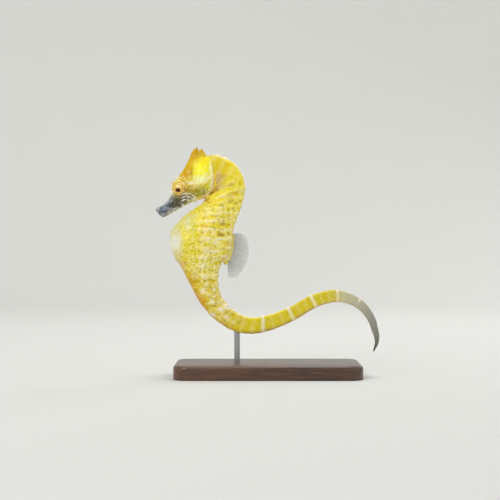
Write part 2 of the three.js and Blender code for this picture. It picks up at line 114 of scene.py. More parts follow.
# Each row is: along, top, bottom, half the width, how much narrower the top is than the bottom.
HEAD_STATIONS = np.array([
    (-0.6, 0.95, 0.1, 0.3, 0),
    (-0.45, 1.3, -0.7, 0.7, 0),
    (-0.1, 1.5, -1.4, 1.0, 0),
    (0.5, 1.5, -1.75, 1.15, 0),
    (1.7, 1.36, -1.95, 1.1, 0),
    (3.4, 1.5, -2.05, 1.15, 0),
    (4.8, 1.85, -2.15, 1.4, 0.05),
    (5.9, 3.1, -2.2, 1.85, 0.15),
    (7.0, 4.2, -2.35, 2.15, 0.25),
    (8.1, 4.95, -2.45, 2.4, 0.32),
    (9.5, 5.38, -2.7, 2.65, 0.38),
    (10.9, 5.75, -3.2, 2.9, 0.42),
    (12.6, 6.5, -3.7, 3.15, 0.42),
    (14.3, 7.35, -4.0, 3.25, 0.4),
    (16.0, 7.75, -3.7, 3.1, 0.35),
    (17.6, 7.45, -2.7, 2.7, 0.3),
    (19.0, 6.4, -1.2, 2.1, 0.3),
])
HEAD_STEP = 0.2
HEAD_SIDES = 56

# Coronet: x of the front and back edges, z, half the width. Five blunt points stand on it, each with a root,
# a tip and the radius at each end.
CORONET_STATIONS = np.array([
    (-23.2, -16.0, 58.6, 1.6),
    (-22.35, -16.5, 60.4, 1.3),
    (-21.7, -17.1, 61.9, 1.0),
    (-21.3, -17.7, 62.8, 0.85),
    (-21.0, -18.05, 63.25, 0.75),
])
CORONET_POINTS = (
    ((-20.4, 0.0, 62.6), (-20.6, 0.0, 63.6), 0.65, 0.3),
    ((-19.8, 0.45, 62.6), (-19.95, 0.65, 64.0), 0.7, 0.32),
    ((-19.8, -0.45, 62.6), (-19.95, -0.65, 64.0), 0.7, 0.32),
    ((-18.7, 0.35, 62.4), (-18.45, 0.5, 63.55), 0.65, 0.32),
    ((-18.7, -0.35, 62.4), (-18.45, -0.5, 63.55), 0.65, 0.32),
)
CORONET_ROWS, CORONET_SIDES = 26, 50

EYE_CENTRE = (8.2, 2.4)  # along, up
EYE_OUT = 1.8
EYE_RADII = (1.8, 1.3, 1.8)
ORBIT_OUT = 1.45
ORBIT_RADII = (2.25, 1.35, 2.25)

# Spines on the nose, the brow and the cheek: root and tip as (along, up, out), and the radius at each end.
SPINES = (
    ((6.5, 2.7, 0), (5.25, 3.25, 0), 0.62, 0.2),
    ((7.9, 4.3, 1.3), (7.5, 4.95, 1.5), 0.55, 0.25),
    ((10.2, -2.1, 1.15), (10.0, -3.1, 1.35), 0.7, 0.22),
)
SPINE_SIDES, SPINE_ROWS = 20, 8

# Low mounds that the fins grow from.
MOUND_ROWS, MOUND_COLUMNS = 20, 32
FIN_BASE = {"centre": (-11.0, 0, 35.7), "radii": (1.4, 1.2, 4.6), "lean": math.radians(13)}
ANAL_BASE = {"centre": (-25.55, 0, 33.2), "radii": (0.45, 0.35, 0.8), "lean": math.radians(-18)}
PECTORAL_BASE = {"centre": (-14.4, 3.1, 55.3), "radii": (0.6, 0.5, 1.8)}

VOXEL = 0.185  # the grain of the joined skin
WORK_SCALE = 0.1  # Blender units per millimetre while the skin is joined
RELAX_PUSHES = (0.55, -0.45)  # out and back, as shares of the way to the neighbours' middle
RELAX_ROUNDS = 6
CORONET_ROOT = (-20, 60.2)
GILL_SOFT, CORONET_SOFT = 1.5, 3.5  # how far from each join the skin is rounded off more

# The line from the nape down the edge of the gill cover, under the throat and out below the chin, as (x, z).
GILL_LINE = (
    (-17.0, 62.6), (-15.3, 59.5), (-14.6, 55.3), (-15.3, 52.0), (-17.1, 49.5), (-20.0, 48.3), (-27.0, 45.5),
)
# The brood pouch's upper edge: ring, and height from the belly (-1) to the back (1).
POUCH_EDGE = (
    (11.7, -1.6), (11.9, -0.7), (12.8, -0.12), (14.3, 0.0), (15.8, -0.12), (17.0, -0.7), (17.3, -1.6),
)


# -------------------------------------------------------------------------------- small tools

def smoothstep(low, high, value):
    """0 up to low, 1 from high on and smooth between them. It falls instead where low is more than high."""
    share = np.clip((value - low) / (high - low), 0.0, 1.0)
    return share * share * (3 - 2 * share)


def bell(value, width):
    return np.exp(-((value / width) ** 2))


def by_row(rows, at):
    """Straight lines through rows of (position, value)."""
    return np.interp(at, *np.transpose(rows))


def interpolate(rows, at):
    """Cubic curve through rows of (position, values...), at many positions."""
    at = np.atleast_1d(np.asarray(at, float))
    position, values = rows[:, 0], rows[:, 1:]
    slopes = np.empty_like(values)
    slopes[1:-1] = (values[2:] - values[:-2]) / (position[2:] - position[:-2])[:, None]
    slopes[0] = (values[1] - values[0]) / (position[1] - position[0])
    slopes[-1] = (values[-1] - values[-2]) / (position[-1] - position[-2])
    k = np.clip(np.searchsorted(position, at, side="right") - 1, 0, len(position) - 2)
    span = (position[k + 1] - position[k])[:, None]
    t = (at - position[k])[:, None] / span
    return (
        (2 * t**3 - 3 * t**2 + 1) * values[k]
        + (t**3 - 2 * t**2 + t) * span * slopes[k]
        + (3 * t**2 - 2 * t**3) * values[k + 1]
        + (t**3 - t**2) * span * slopes[k + 1]
    )


def catmull_rom(before, start, end, after, share):
    """A smooth curve's place between the middle two of four points."""
    return 0.5 * (
        2 * start + (end - before) * share
        + (2 * before - 5 * start + 4 * end - after) * share**2
        + (3 * start - before - 3 * end + after) * share**3
    )


def rounded_loop(corners, steps):
    """A closed smooth curve through corners (..., count, 2), with so many steps from each to the next."""
    before, after, second = (np.roll(corners, shift, axis=-2) for shift in (1, -1, -2))
    parts = [catmull_rom(before, corners, after, second, step / steps) for step in range(steps)]
    return np.stack(parts, axis=-2).reshape(*corners.shape[:-2], -1, 2)


def run_along(places):
    """How far along a line of places each one lies."""
    return np.concatenate([[0], np.cumsum(np.linalg.norm(np.diff(places, axis=0), axis=1))])


def loft(rows):
    """Vertices and faces of a closed skin over rows of loops, shaped (rows, count, 3)."""
    count, around = rows.shape[:2]
    points = np.vstack([rows.reshape(-1, 3), rows[0].mean(axis=0), rows[-1].mean(axis=0)])
    faces = []
    for row in range(count - 1):
        for column in range(around):
            here, following = row * around + column, row * around + (column + 1) % around
            faces.append((here, following, following + around, here + around))
    first, last = count * around, count * around + 1
    for column in range(around):
        following = (column + 1) % around
        faces.append((following, column, first))
        faces.append(((count - 1) * around + column, (count - 1) * around + following, last))
    return points, faces


def make_mesh(name, points, faces, scale=MM):
    mesh = bpy.data.meshes.new(name)
    mesh.from_pydata((np.asarray(points) * scale).tolist(), [], faces)
    mesh.validate()
    whole = bmesh.new()
    whole.from_mesh(mesh)
    bmesh.ops.recalc_face_normals(whole, faces=whole.faces)
    whole.to_mesh(mesh)
    whole.free()
    mesh.update()
    return mesh


def make_object(name, mesh):
    piece = bpy.data.objects.new(name, mesh)
    bpy.context.scene.collection.objects.link(piece)
    return piece


def applied(piece):
    """The mesh of a piece with its modifiers applied. The piece itself is removed."""
    evaluated = piece.evaluated_get(bpy.context.evaluated_depsgraph_get())
    mesh = bpy.data.meshes.new_from_object(evaluated)
    bpy.data.objects.remove(piece)
    return mesh


def read(items, key, width=3, kind=float):
    """One property of all the vertices, edges, faces or corners of a mesh."""
    found = np.empty(len(items) * width, kind)
    items.foreach_get(key, found)
    return found.reshape(-1, width) if width > 1 else found


def set_points(mesh, points):
    mesh.vertices.foreach_set("co", (points * MM).ravel())
    mesh.update()


def give(mesh, name, values):
    """Keeps a number or a vector with each point, for a material or a node tree to read."""
    values = np.asarray(values, float)
    kind, key = ("FLOAT", "value") if values.ndim == 1 else ("FLOAT_VECTOR", "vector")
    mesh.attributes.new(name, kind, "POINT").data.foreach_set(key, values.ravel())


def linear(colour):
    """An sRGB hex colour as linear RGBA."""
    channels = [int(colour[k:k + 2], 16) / 255 for k in (1, 3, 5)]
    return [c / 12.92 if c <= 0.04045 else ((c + 0.055) / 1.055) ** 2.4 for c in channels] + [1.0]


def ripple(points, wavelength, seed, waves=7):
    """A smooth, repeatable unevenness of about -1 to 1, as a sum of slanting waves."""
    draw = random.Random(seed)
    total = np.zeros(len(points))
    for _ in range(waves):
        direction = np.array([draw.gauss(0, 1) for _ in range(3)])
        direction /= np.linalg.norm(direction)
        length = wavelength * draw.uniform(0.7, 1.6)
        total += np.sin(points @ direction * 2 * math.pi / length + draw.uniform(0, 2 * math.pi))
    return total / (waves / 2)


# -------------------------------------------------------------------------------- body and head

def body_axes(ring):
    """Middle, direction to the back, half depth and half width at each ring."""
    found = interpolate(BODY_STATIONS, ring)
    back, belly = found[:, 0:2], found[:, 2:4]
    depth = np.linalg.norm(back - belly, axis=1)
    return (back + belly) / 2, (back - belly) / depth[:, None], depth / 2, found[:, 4]


def body_outlines(ring):
    """Closed smooth outlines (rings, count, 2) in half depths and widths, from the back's middle round."""
    half = np.empty((len(ring), OUTLINE_POINTS, 2))
    for k in range(OUTLINE_POINTS):
        for axis in range(2):
            half[:, k, axis] = np.interp(ring, OUTLINE_RINGS, OUTLINES[:, k, axis])
    other = half[:, -2:0:-1] * (1, -1)
    return rounded_loop(np.concatenate([half, other], axis=1), OUTLINE_STEPS)


def half_outlines(ring):
    """Outlines from the back's middle to the belly's."""
    return body_outlines(ring)[:, :(OUTLINE_POINTS - 1) * OUTLINE_STEPS + 1]


def all_rings(step):
    return np.arange(FIRST_RING, LAST_RING + step / 2, step)


def body_loft():
    ring = all_rings(RING_STEP)
    middle, up, half_depth, half_width = body_axes(ring)
    outline = body_outlines(ring) * np.stack([half_depth, half_width], axis=1)[:, None, :]
    across = middle[:, None, :] + up[:, None, :] * outline[..., 0:1]
    return loft(np.stack([across[..., 0], outline[..., 1], across[..., 1]], axis=-1))


def head_place(along, up, out):
    """Frame coordinates of places given in the head's axes."""
    along, up, out = np.broadcast_arrays(*(np.asarray(v, float) for v in (along, up, out)))
    across = MOUTH + along[..., None] * ALONG + up[..., None] * UP
    return np.stack([across[..., 0], out, across[..., 1]], axis=-1)


def head_loft():
    along = np.arange(HEAD_STATIONS[0, 0], HEAD_STATIONS[-1, 0], HEAD_STEP)
    top, bottom, half_width, narrowing = interpolate(HEAD_STATIONS, along).T[..., None]
    angle = np.linspace(0, 2 * math.pi, HEAD_SIDES, endpoint=False)
    up = (top + bottom) / 2 + (top - bottom) / 2 * np.cos(angle)
    out = half_width * np.sin(angle) * (1 - narrowing * np.cos(angle))
    return loft(head_place(along[:, None], up, out))


def coronet_loft():
    z = np.linspace(CORONET_STATIONS[0, 2], CORONET_STATIONS[-1, 2], CORONET_ROWS)
    front, back, half_width = interpolate(CORONET_STATIONS[:, (2, 0, 1, 3)], z).T[..., None]
    angle = np.linspace(0, 2 * math.pi, CORONET_SIDES, endpoint=False)
    x = (front + back) / 2 + (back - front) / 2 * np.cos(angle)
    y = half_width * np.sin(angle)
    return loft(np.stack([x, y, np.broadcast_to(z[:, None], x.shape)], axis=-1))


def ball(rows, columns, pole, level, side):
    """Rows of places round a unit ball with its pole along the first of three axes, without the two ends."""
    polar = np.linspace(0, math.pi, rows + 1)[1:-1, None, None]
    around = np.linspace(0, 2 * math.pi, columns, endpoint=False)[:, None]
    circle = np.cos(around) * level + np.sin(around) * side
    return np.cos(polar) * pole + np.sin(polar) * circle


def ellipsoid(centre, radii, lean=0.0):
    """A ball drawn out to three radii, with its top leant towards +X."""
    places = ball(MOUND_ROWS, MOUND_COLUMNS, (0, 0, 1), (1, 0, 0), (0, 1, 0))
    x, y, z = np.moveaxis(places * radii, -1, 0)
    leant_x = x * math.cos(lean) + z * math.sin(lean)
    leant_z = z * math.cos(lean) - x * math.sin(lean)
    return loft(np.stack([leant_x, y, leant_z], axis=-1) + centre)


def spine(start, end, root_radius, tip_radius):
    """A blunt tapering point."""
    start, end = np.asarray(start, float), np.asarray(end, float)
    axis = (end - start) / np.linalg.norm(end - start)
    across = np.cross(axis, (0, 1, 0.01))
    across /= np.linalg.norm(across)
    third = np.cross(axis, across)
    angle = np.linspace(0, 2 * math.pi, SPINE_SIDES, endpoint=False)[:, None]
    circle = np.cos(angle) * across + np.sin(angle) * third
    rows = []
    for share in np.linspace(0, 1, SPINE_ROWS):
        radius = root_radius + (tip_radius - root_radius) * share**0.7
        rows.append(start + (end - start) * share + radius * circle)
    rows.append(end + axis * tip_radius * 0.7 + 0.6 * tip_radius * circle)
    return loft(np.array(rows))


def joined_skin():
    """All the flesh as one closed surface."""
    parts = [body_loft(), head_loft(), coronet_loft(), ellipsoid(**FIN_BASE), ellipsoid(**ANAL_BASE)]
    for side in (-1, 1):
        parts.append(ellipsoid(head_place(*EYE_CENTRE, ORBIT_OUT * side), ORBIT_RADII))
        parts.append(ellipsoid(np.multiply(PECTORAL_BASE["centre"], (1, side, 1)), PECTORAL_BASE["radii"]))
        for *ends, root_radius, tip_radius in SPINES:
            root, tip = (head_place(along, up, out * side) for along, up, out in ends)
            parts.append(spine(root, tip, root_radius, tip_radius))
    parts += [spine(*point) for point in CORONET_POINTS]
    whole = bmesh.new()
    for points, faces in parts:
        part = make_mesh("part", points, faces, WORK_SCALE)
        whole.from_mesh(part)
        bpy.data.meshes.remove(part)
    mesh = bpy.data.meshes.new("joined")
    whole.to_mesh(mesh)
    whole.free()
    piece = make_object("joined", mesh)
    remesh = piece.modifiers.new("join", "REMESH")
    remesh.mode = "VOXEL"
    remesh.voxel_size = VOXEL * WORK_SCALE
    skin = applied(piece)
    set_points(skin, read(skin.vertices, "co") / WORK_SCALE)
    return skin


def relax(points, edges, strength):
    """Evens out a surface by moving each point towards its neighbours' middle and part of the way back."""
    count = len(points)
    ends = np.concatenate([edges, edges[:, ::-1]])
    near = np.bincount(ends[:, 0], minlength=count)[:, None]
    for push in RELAX_PUSHES * RELAX_ROUNDS:
        total = np.stack([np.bincount(ends[:, 0], points[ends[:, 1], k], count) for k in range(3)], axis=1)
        points = points + (total / near - points) * (push * strength)[:, None]
    return points


def girth_table(ring, half_depth, half_width):
    """For each ring, the distance round from the back's middle at even angles down to the belly's."""
    outline = half_outlines(ring)
    real = outline * np.stack([half_depth, half_width], axis=1)[:, None, :]
    turned = np.arctan2(np.abs(outline[..., 1]), outline[..., 0])
    bins = np.linspace(0, math.pi, GIRTH_BINS + 1)
    return np.array([np.interp(bins, turned[k], run_along(real[k])) for k in range(len(ring))])


def ring_places(points, chunk=4000):
    """Ring number, height from belly (-1) to back (1), and the distance round from the back's middle."""
    ring = all_rings(PLACE_STEP)
    middle, up, half_depth, half_width = body_axes(ring)
    square = np.stack([-up[:, 1], up[:, 0]], axis=1)
    girth = girth_table(ring, half_depth, half_width)
    found = np.empty((len(points), 3))
    for start in range(0, len(points), chunk):
        part = points[start:start + chunk]
        offset = part[:, None, (0, 2)] - middle
        height = (offset * up).sum(axis=2)
        beside = (offset * square).sum(axis=2)
        beyond = np.maximum(np.abs(height) - half_depth, 0)
        # The nearest station, and then the share of the way to the one before or after it.
        k = np.argmin(beside**2 + beyond**2, axis=1)
        row = np.arange(len(k))
        here = beside[row, k]
        ahead = beside[row, np.minimum(k + 1, len(ring) - 1)]
        behind = beside[row, np.maximum(k - 1, 0)]
        with np.errstate(divide="ignore", invalid="ignore"):
            forward = np.where(here * ahead < 0, here / (here - ahead), 0)
            backward = np.where(here * behind < 0, -here / (here - behind), 0)
        shift = np.nan_to_num(np.where(forward != 0, forward, backward))
        exact = np.clip(k + shift, 0, len(ring) - 1)
        share = np.clip(height[row, k] / half_depth[k], -1.2, 1.2)
        turned = np.arctan2(np.abs(part[:, 1]) / half_width[k], share) / math.pi * GIRTH_BINS
        low = np.clip(turned.astype(int), 0, GIRTH_BINS - 1)
        distance = girth[k, low] + (girth[k, low + 1] - girth[k, low]) * (turned - low)
        found[start:start + chunk] = np.stack([FIRST_RING + exact * PLACE_STEP, share, distance], axis=1)
    return found.T


def near_line(points, line):
    """In side view: distance from a line of (x, z) places, how far along it (0 to 1), and which side."""
    flat, line = points[:, (0, 2)], np.asarray(line)
    best = np.full(len(points), np.inf)
    where, side = np.zeros((2, len(points)))
    for k, (start, end) in enumerate(zip(line[:-1], line[1:])):
        along = end - start
        share = np.clip(((flat - start) @ along) / (along @ along), 0, 1)
        gap = flat - start - share[:, None] * along
        distance = np.linalg.norm(gap, axis=1)
        nearer = distance < best
        best = np.where(nearer, distance, best)
        where = np.where(nearer, (k + share) / (len(line) - 1), where)
        side = np.where(nearer, np.sign(along[0] * gap[:, 1] - along[1] * gap[:, 0]), side)
    return best, where, side


def behind_gill(points):
    """Distance behind the gill line, negative on the head's side."""
    distance, _, side = near_line(points, GILL_LINE)
    return distance * side


# -------------------------------------------------------------------------------- relief

# Heights by ring, in millimetres: the raised middle of each plate, and the tubercles on the superior ridges.
PLATE_HEIGHTS = (
    (0, 0.10), (4, 0.16), (10, 0.19), (16, 0.16), (20, 0.10), (26, 0.06), (36, 0.035), (47, 0.01),
)
KNOB_HEIGHTS = (
    (3, 0.0), (6, 0.08), (14, 0.13), (17, 0.22), (20, 0.1), (25, 0.03), (36, 0.02), (44, 0.0),
)
THIRD_KNOB = 0.09  # more height on every third ring of the tail
SIDE_KNOB = 0.06  # on the lateral ridges
BEND_KNOB, BEND_RING = 0.42, 17.6  # the large tubercle where the tail bends
POUCH_FURROW = 0.10
RIDGE_STRENGTHS = ((SUPERIOR, 1.0), (LATERAL, 0.8), (INFERIOR, 0.9))

GILL_EDGE, GILL_GROOVE, GILL_RAY = 0.16, 0.26, 0.035
GILL_LOW, GILL_HIGH = (49.0, 50.5), (61.5, 59.0)  # z where the edge ends and where it is full, at each end
GILL_FOOT = (10.4, -1.6)  # where the gill cover's rays meet: along, up
GILL_RAYS = 26  # in a whole turn
EYE_HOLLOW = 0.7
NOSTRILS = ((6.35, 1.95), (6.75, 2.6))  # along, up
NOSTRIL_DEPTH, NOSTRIL_RADIUS = 0.16, 0.16
SNOUT_HOLLOW, MOUTH_DEPTH, CLEFT_DEPTH, LIP_HEIGHT = 0.10, 0.45, 0.14, 0.08
FOLD_HEIGHT, FOLD_FURROW = 0.15, 0.09

# Folds of skin on the cheek, below and behind the eye, as (x, z). The last one isn't painted.
CHEEK_FOLDS = (
    ((-24.0, 50.7), (-22.8, 51.2), (-21.4, 51.0), (-20.3, 50.2)),
    ((-24.1, 49.8), (-22.9, 50.4), (-21.6, 50.1), (-20.6, 49.4)),
    ((-24.2, 49.0), (-23.0, 49.5), (-21.9, 49.3)),
    ((-22.6, 53.1), (-21.3, 53.6), (-19.9, 53.8)),
)
# Flecks of raised white skin: x, y, z, radius.
FLECKS = (
    (-15.4, -0.3, 62.2, 0.26), (-14.25, -0.3, 61.75, 0.34), (-13.7, -0.35, 61.5, 0.44),
    (-13.1, -0.4, 61.25, 0.4), (-11.95, -0.35, 60.95, 0.44), (-11.5, -0.5, 60.65, 0.32),
    (-10.3, -0.3, 59.85, 0.26), (-14.6, 0.5, 61.8, 0.32), (-13.3, 0.5, 61.4, 0.4),
    (-12.2, 0.5, 61.05, 0.38), (-10.9, 0.4, 60.3, 0.3),
)
# Small pale papillae on both sides of the head: along, up, radius.
PAPILLAE = (
    (7.2, 4.75, 0.2), (7.9, 5.2, 0.22), (8.8, 5.35, 0.2), (9.7, 5.2, 0.22), (6.7, 4.1, 0.2),
    (10.4, 4.75, 0.18), (6.2, 1.9, 0.16), (10.9, 3.9, 0.16), (11.0, 2.7, 0.18), (6.6, -2.1, 0.3),
    (4.9, -2.0, 0.22), (2.2, -1.95, 0.26), (3.3, -1.8, 0.2), (8.6, -1.9, 0.22), (9.6, -2.2, 0.24),
    (10.4, -2.3, 0.22), (12.3, -3.3, 0.2), (13.6, -3.6, 0.2), (14.6, -3.2, 0.16), (14.2, -2.2, 0.15),
    (13.0, -1.9, 0.15), (15.3, -2.6, 0.2), (16.2, -2.15, 0.17), (16.95, -1.4, 0.2), (17.6, -0.65, 0.18),
    (18.2, 0.25, 0.2), (18.7, 1.2, 0.17), (19.2, 2.25, 0.2), (19.55, 3.35, 0.17), (16.6, 0.4, 0.14),
)


def body_ridges(ring):
    """Angles from the back's middle of the superior, lateral and inferior ridges, and how strong each is."""
    ridges = []
    for k, strength in RIDGE_STRENGTHS:
        up, out = (np.interp(ring, OUTLINE_RINGS, OUTLINES[:, k, axis]) for axis in range(2))
        fade = smoothstep(19, 14, ring) if k == LATERAL else 1.0
        ridges.append((np.arctan2(out, up), strength * fade))
    return ridges


def body_relief(points, at):
    """Rings, ridges and tubercles: the lift, how far a point is on a ring's crest, and on a tubercle."""
    ring = at.ring
    on_body = smoothstep(-0.2, 0.5, at.behind)
    angle = np.arctan2(np.abs(points[:, 1]) / body_axes(ring)[3], at.height)
    ridges = body_ridges(ring)
    superior, lateral = bell(angle - ridges[0][0], 0.2), bell(angle - ridges[1][0], 0.17)
    # The raised middle of each plate is highest where it crosses a ridge. The pouch is smooth.
    crest = (0.5 + 0.5 * np.cos(2 * math.pi * ring)) ** 2.2
    ridge = np.clip(sum(bell(angle - bearing, 0.17) * strength for bearing, strength in ridges), 0, 1)
    above_pouch = at.height - by_row(POUCH_EDGE, ring)
    pouch = smoothstep(0.08, -0.08, above_pouch)
    belly = smoothstep(-0.6, -0.95, at.height) * smoothstep(14, 12, ring)
    plated = on_body * (1 - 0.8 * pouch) * (1 - 0.65 * belly)
    started = 0.2 + 0.8 * smoothstep(0.5, 4.5, ring)
    lift = plated * started * by_row(PLATE_HEIGHTS, ring) * ((0.5 + 0.75 * ridge) * crest - 0.25)
    lift -= on_body * POUCH_FURROW * bell(above_pouch, 0.07)
    # One blunt tubercle on each crossing of ring and superior ridge, larger on every third ring of the tail.
    knob = bell(np.mod(ring + 0.5, 1) - 0.5, 0.2)
    third = bell(np.mod(ring - 20 + 1.5, 3) - 1.5, 0.33)
    third = third * smoothstep(18.5, 20, ring) * smoothstep(44, 34, ring)
    tall = by_row(KNOB_HEIGHTS, ring) * knob + THIRD_KNOB * third + BEND_KNOB * bell(ring - BEND_RING, 0.3)
    lift += on_body * superior * tall
    lift += on_body * lateral * SIDE_KNOB * knob * smoothstep(2, 6, ring) * smoothstep(19, 16, ring)
    return lift, crest * plated, knob * (superior + lateral) * on_body


def gill_rays(points, at):
    """Distance from the foot of the gill cover's rays, and the rays themselves from -1 to 1."""
    along, up = at.along - GILL_FOOT[0], at.up - GILL_FOOT[1]
    return np.hypot(up, along), np.cos(np.arctan2(up, along) * GILL_RAYS + 0.6 * ripple(points, 2.0, 21))


def gill_relief(points, sideways, at):
    """The gill cover's raised edge with a groove behind it, and fine rays from its lower front corner."""
    reach = smoothstep(*GILL_LOW, points[:, 2]) * smoothstep(*GILL_HIGH, points[:, 2])
    lift = reach * (GILL_EDGE * bell(at.behind + 0.55, 0.45) - GILL_GROOVE * bell(at.behind - 0.05, 0.28))
    spread, rays = gill_rays(points, at)
    lift += at.on_head * GILL_RAY * rays * smoothstep(0.9, 2.0, spread) * smoothstep(-0.2, -0.9, at.behind)
    return lift * sideways


def eye_relief(points, at):
    """A wrinkled rim round each eye, with the skin sunk below the eyeball inside it."""
    along, up = at.along - EYE_CENTRE[0], at.up - EYE_CENTRE[1]
    away, bearing = np.hypot(along, up), np.arctan2(up, along)
    rim = 0.15 + 0.05 * np.sin(bearing * 3 + 0.5) + 0.03 * np.sin(bearing * 11)
    lift = rim * bell(away - 1.85, 0.2) - 0.08 * bell(away - 2.35, 0.22) + 0.05 * bell(away - 2.75, 0.25)
    lift += 0.035 * np.sin(bearing * 17 + 3 * np.sin(bearing * 2)) * bell(away - 2.4, 0.45)
    lift -= EYE_HOLLOW * smoothstep(1.68, 1.4, away)
    return lift * at.on_head * smoothstep(0.8, 1.6, np.abs(points[:, 1]))


def snout_relief(points, sideways, at):
    """Cheek folds, nostrils, a shallow hollow along each side of the snout, and the small slanting mouth."""
    along, up = at.along, at.up
    lift = np.zeros(len(points))
    # Each fold has a furrow on both sides and runs out at its ends.
    for fold in CHEEK_FOLDS:
        gap, share, _ = near_line(points, fold)
        ends = np.sqrt(np.clip(1 - (2 * share - 1) ** 2, 0, 1)) * 0.7 + 0.3
        lift += sideways * ends * (FOLD_HEIGHT * bell(gap, 0.17) - FOLD_FURROW * bell(gap - 0.4, 0.16))
    for pit_along, pit_up in NOSTRILS:
        lift -= sideways * NOSTRIL_DEPTH * bell(np.hypot(along - pit_along, up - pit_up), NOSTRIL_RADIUS)
    tube = smoothstep(0.9, 1.8, along) * smoothstep(5.5, 4.0, along)
    lift -= sideways * SNOUT_HOLLOW * bell(up + 0.1, 0.5) * tube
    cleft = np.abs(up - 0.15 + 0.35 * along)
    mouth = np.hypot((up - 0.2) / 0.8, points[:, 1] / 0.5)
    at_tip = smoothstep(1.3, 0.5, along)
    lift -= at_tip * smoothstep(0.1, -0.3, along) * MOUTH_DEPTH * smoothstep(1.15, 0.6, mouth)
    lift -= at_tip * CLEFT_DEPTH * bell(cleft, 0.13)
    lift += at_tip * LIP_HEIGHT * (bell(cleft - 0.4, 0.22) + bell(along - 0.3, 0.25))
    return lift * at.on_head


def add_relief(points, normals, at):
    """Moves the skin along its normals. Also says how far each point is on a crest and on a tubercle."""
    sideways = np.abs(normals[:, 1])
    lift, crest, knob = body_relief(points, at)
    lift += gill_relief(points, sideways, at) + eye_relief(points, at) + snout_relief(points, sideways, at)
    for x, y, z, radius in FLECKS:
        lift += 1.2 * radius * bell(np.linalg.norm(points - (x, y, z), axis=1), radius)
    for along, up, radius in PAPILLAE:
        away = np.hypot(at.along - along, at.up - up)
        lift += at.on_head * sideways**0.5 * 0.6 * radius * bell(away, radius)
    # Low unevenness of soft skin over bone, and a fine leathery grain.
    lift += 0.03 * ripple(points, 1.6, 3) + 0.018 * ripple(points, 0.75, 5)
    return points + normals * lift[:, None], crest, knob


# -------------------------------------------------------------------------------- paint

# The ground colour of the flank from the nape to the tail's tip, by ring.
FLANK = (
    (-1, "#c8b406"), (1, "#d6c206"), (3, "#f4e212"), (5, "#f8e82a"), (8, "#f0de2e"), (11, "#e6d636"),
    (13, "#ded03e"), (15, "#dcc842"), (17, "#d8c244"), (19, "#dac640"), (22, "#dfcd3e"), (26, "#d6c53c"),
    (30, "#d6c64c"), (31.9, "#d0c160"), (32.6, "#c9c19a"), (35, "#bab6a2"), (37, "#a19f94"),
    (39.5, "#93928a"), (43, "#7c7b74"), (47, "#52514b"),
)
# The belly's colour by ring. From ring 19 to 28 it is darkened as painted shade on the tail's underside.
BELLY = (
    (-1, "#cfb04a"), (4, "#efe07c"), (7, "#eae392"), (9, "#e2dfae"), (11, "#ded79c"), (12.5, "#d8c282"),
    (14, "#d2ac42"), (17, "#cf9f30"), (19, "#c9a84c"), (22, "#bfa352"), (28, "#bfa452"), (31.9, "#c8b67c"),
    (33, "#c4bd9e"), (37, "#aca798"), (47, "#5a5953"),
)
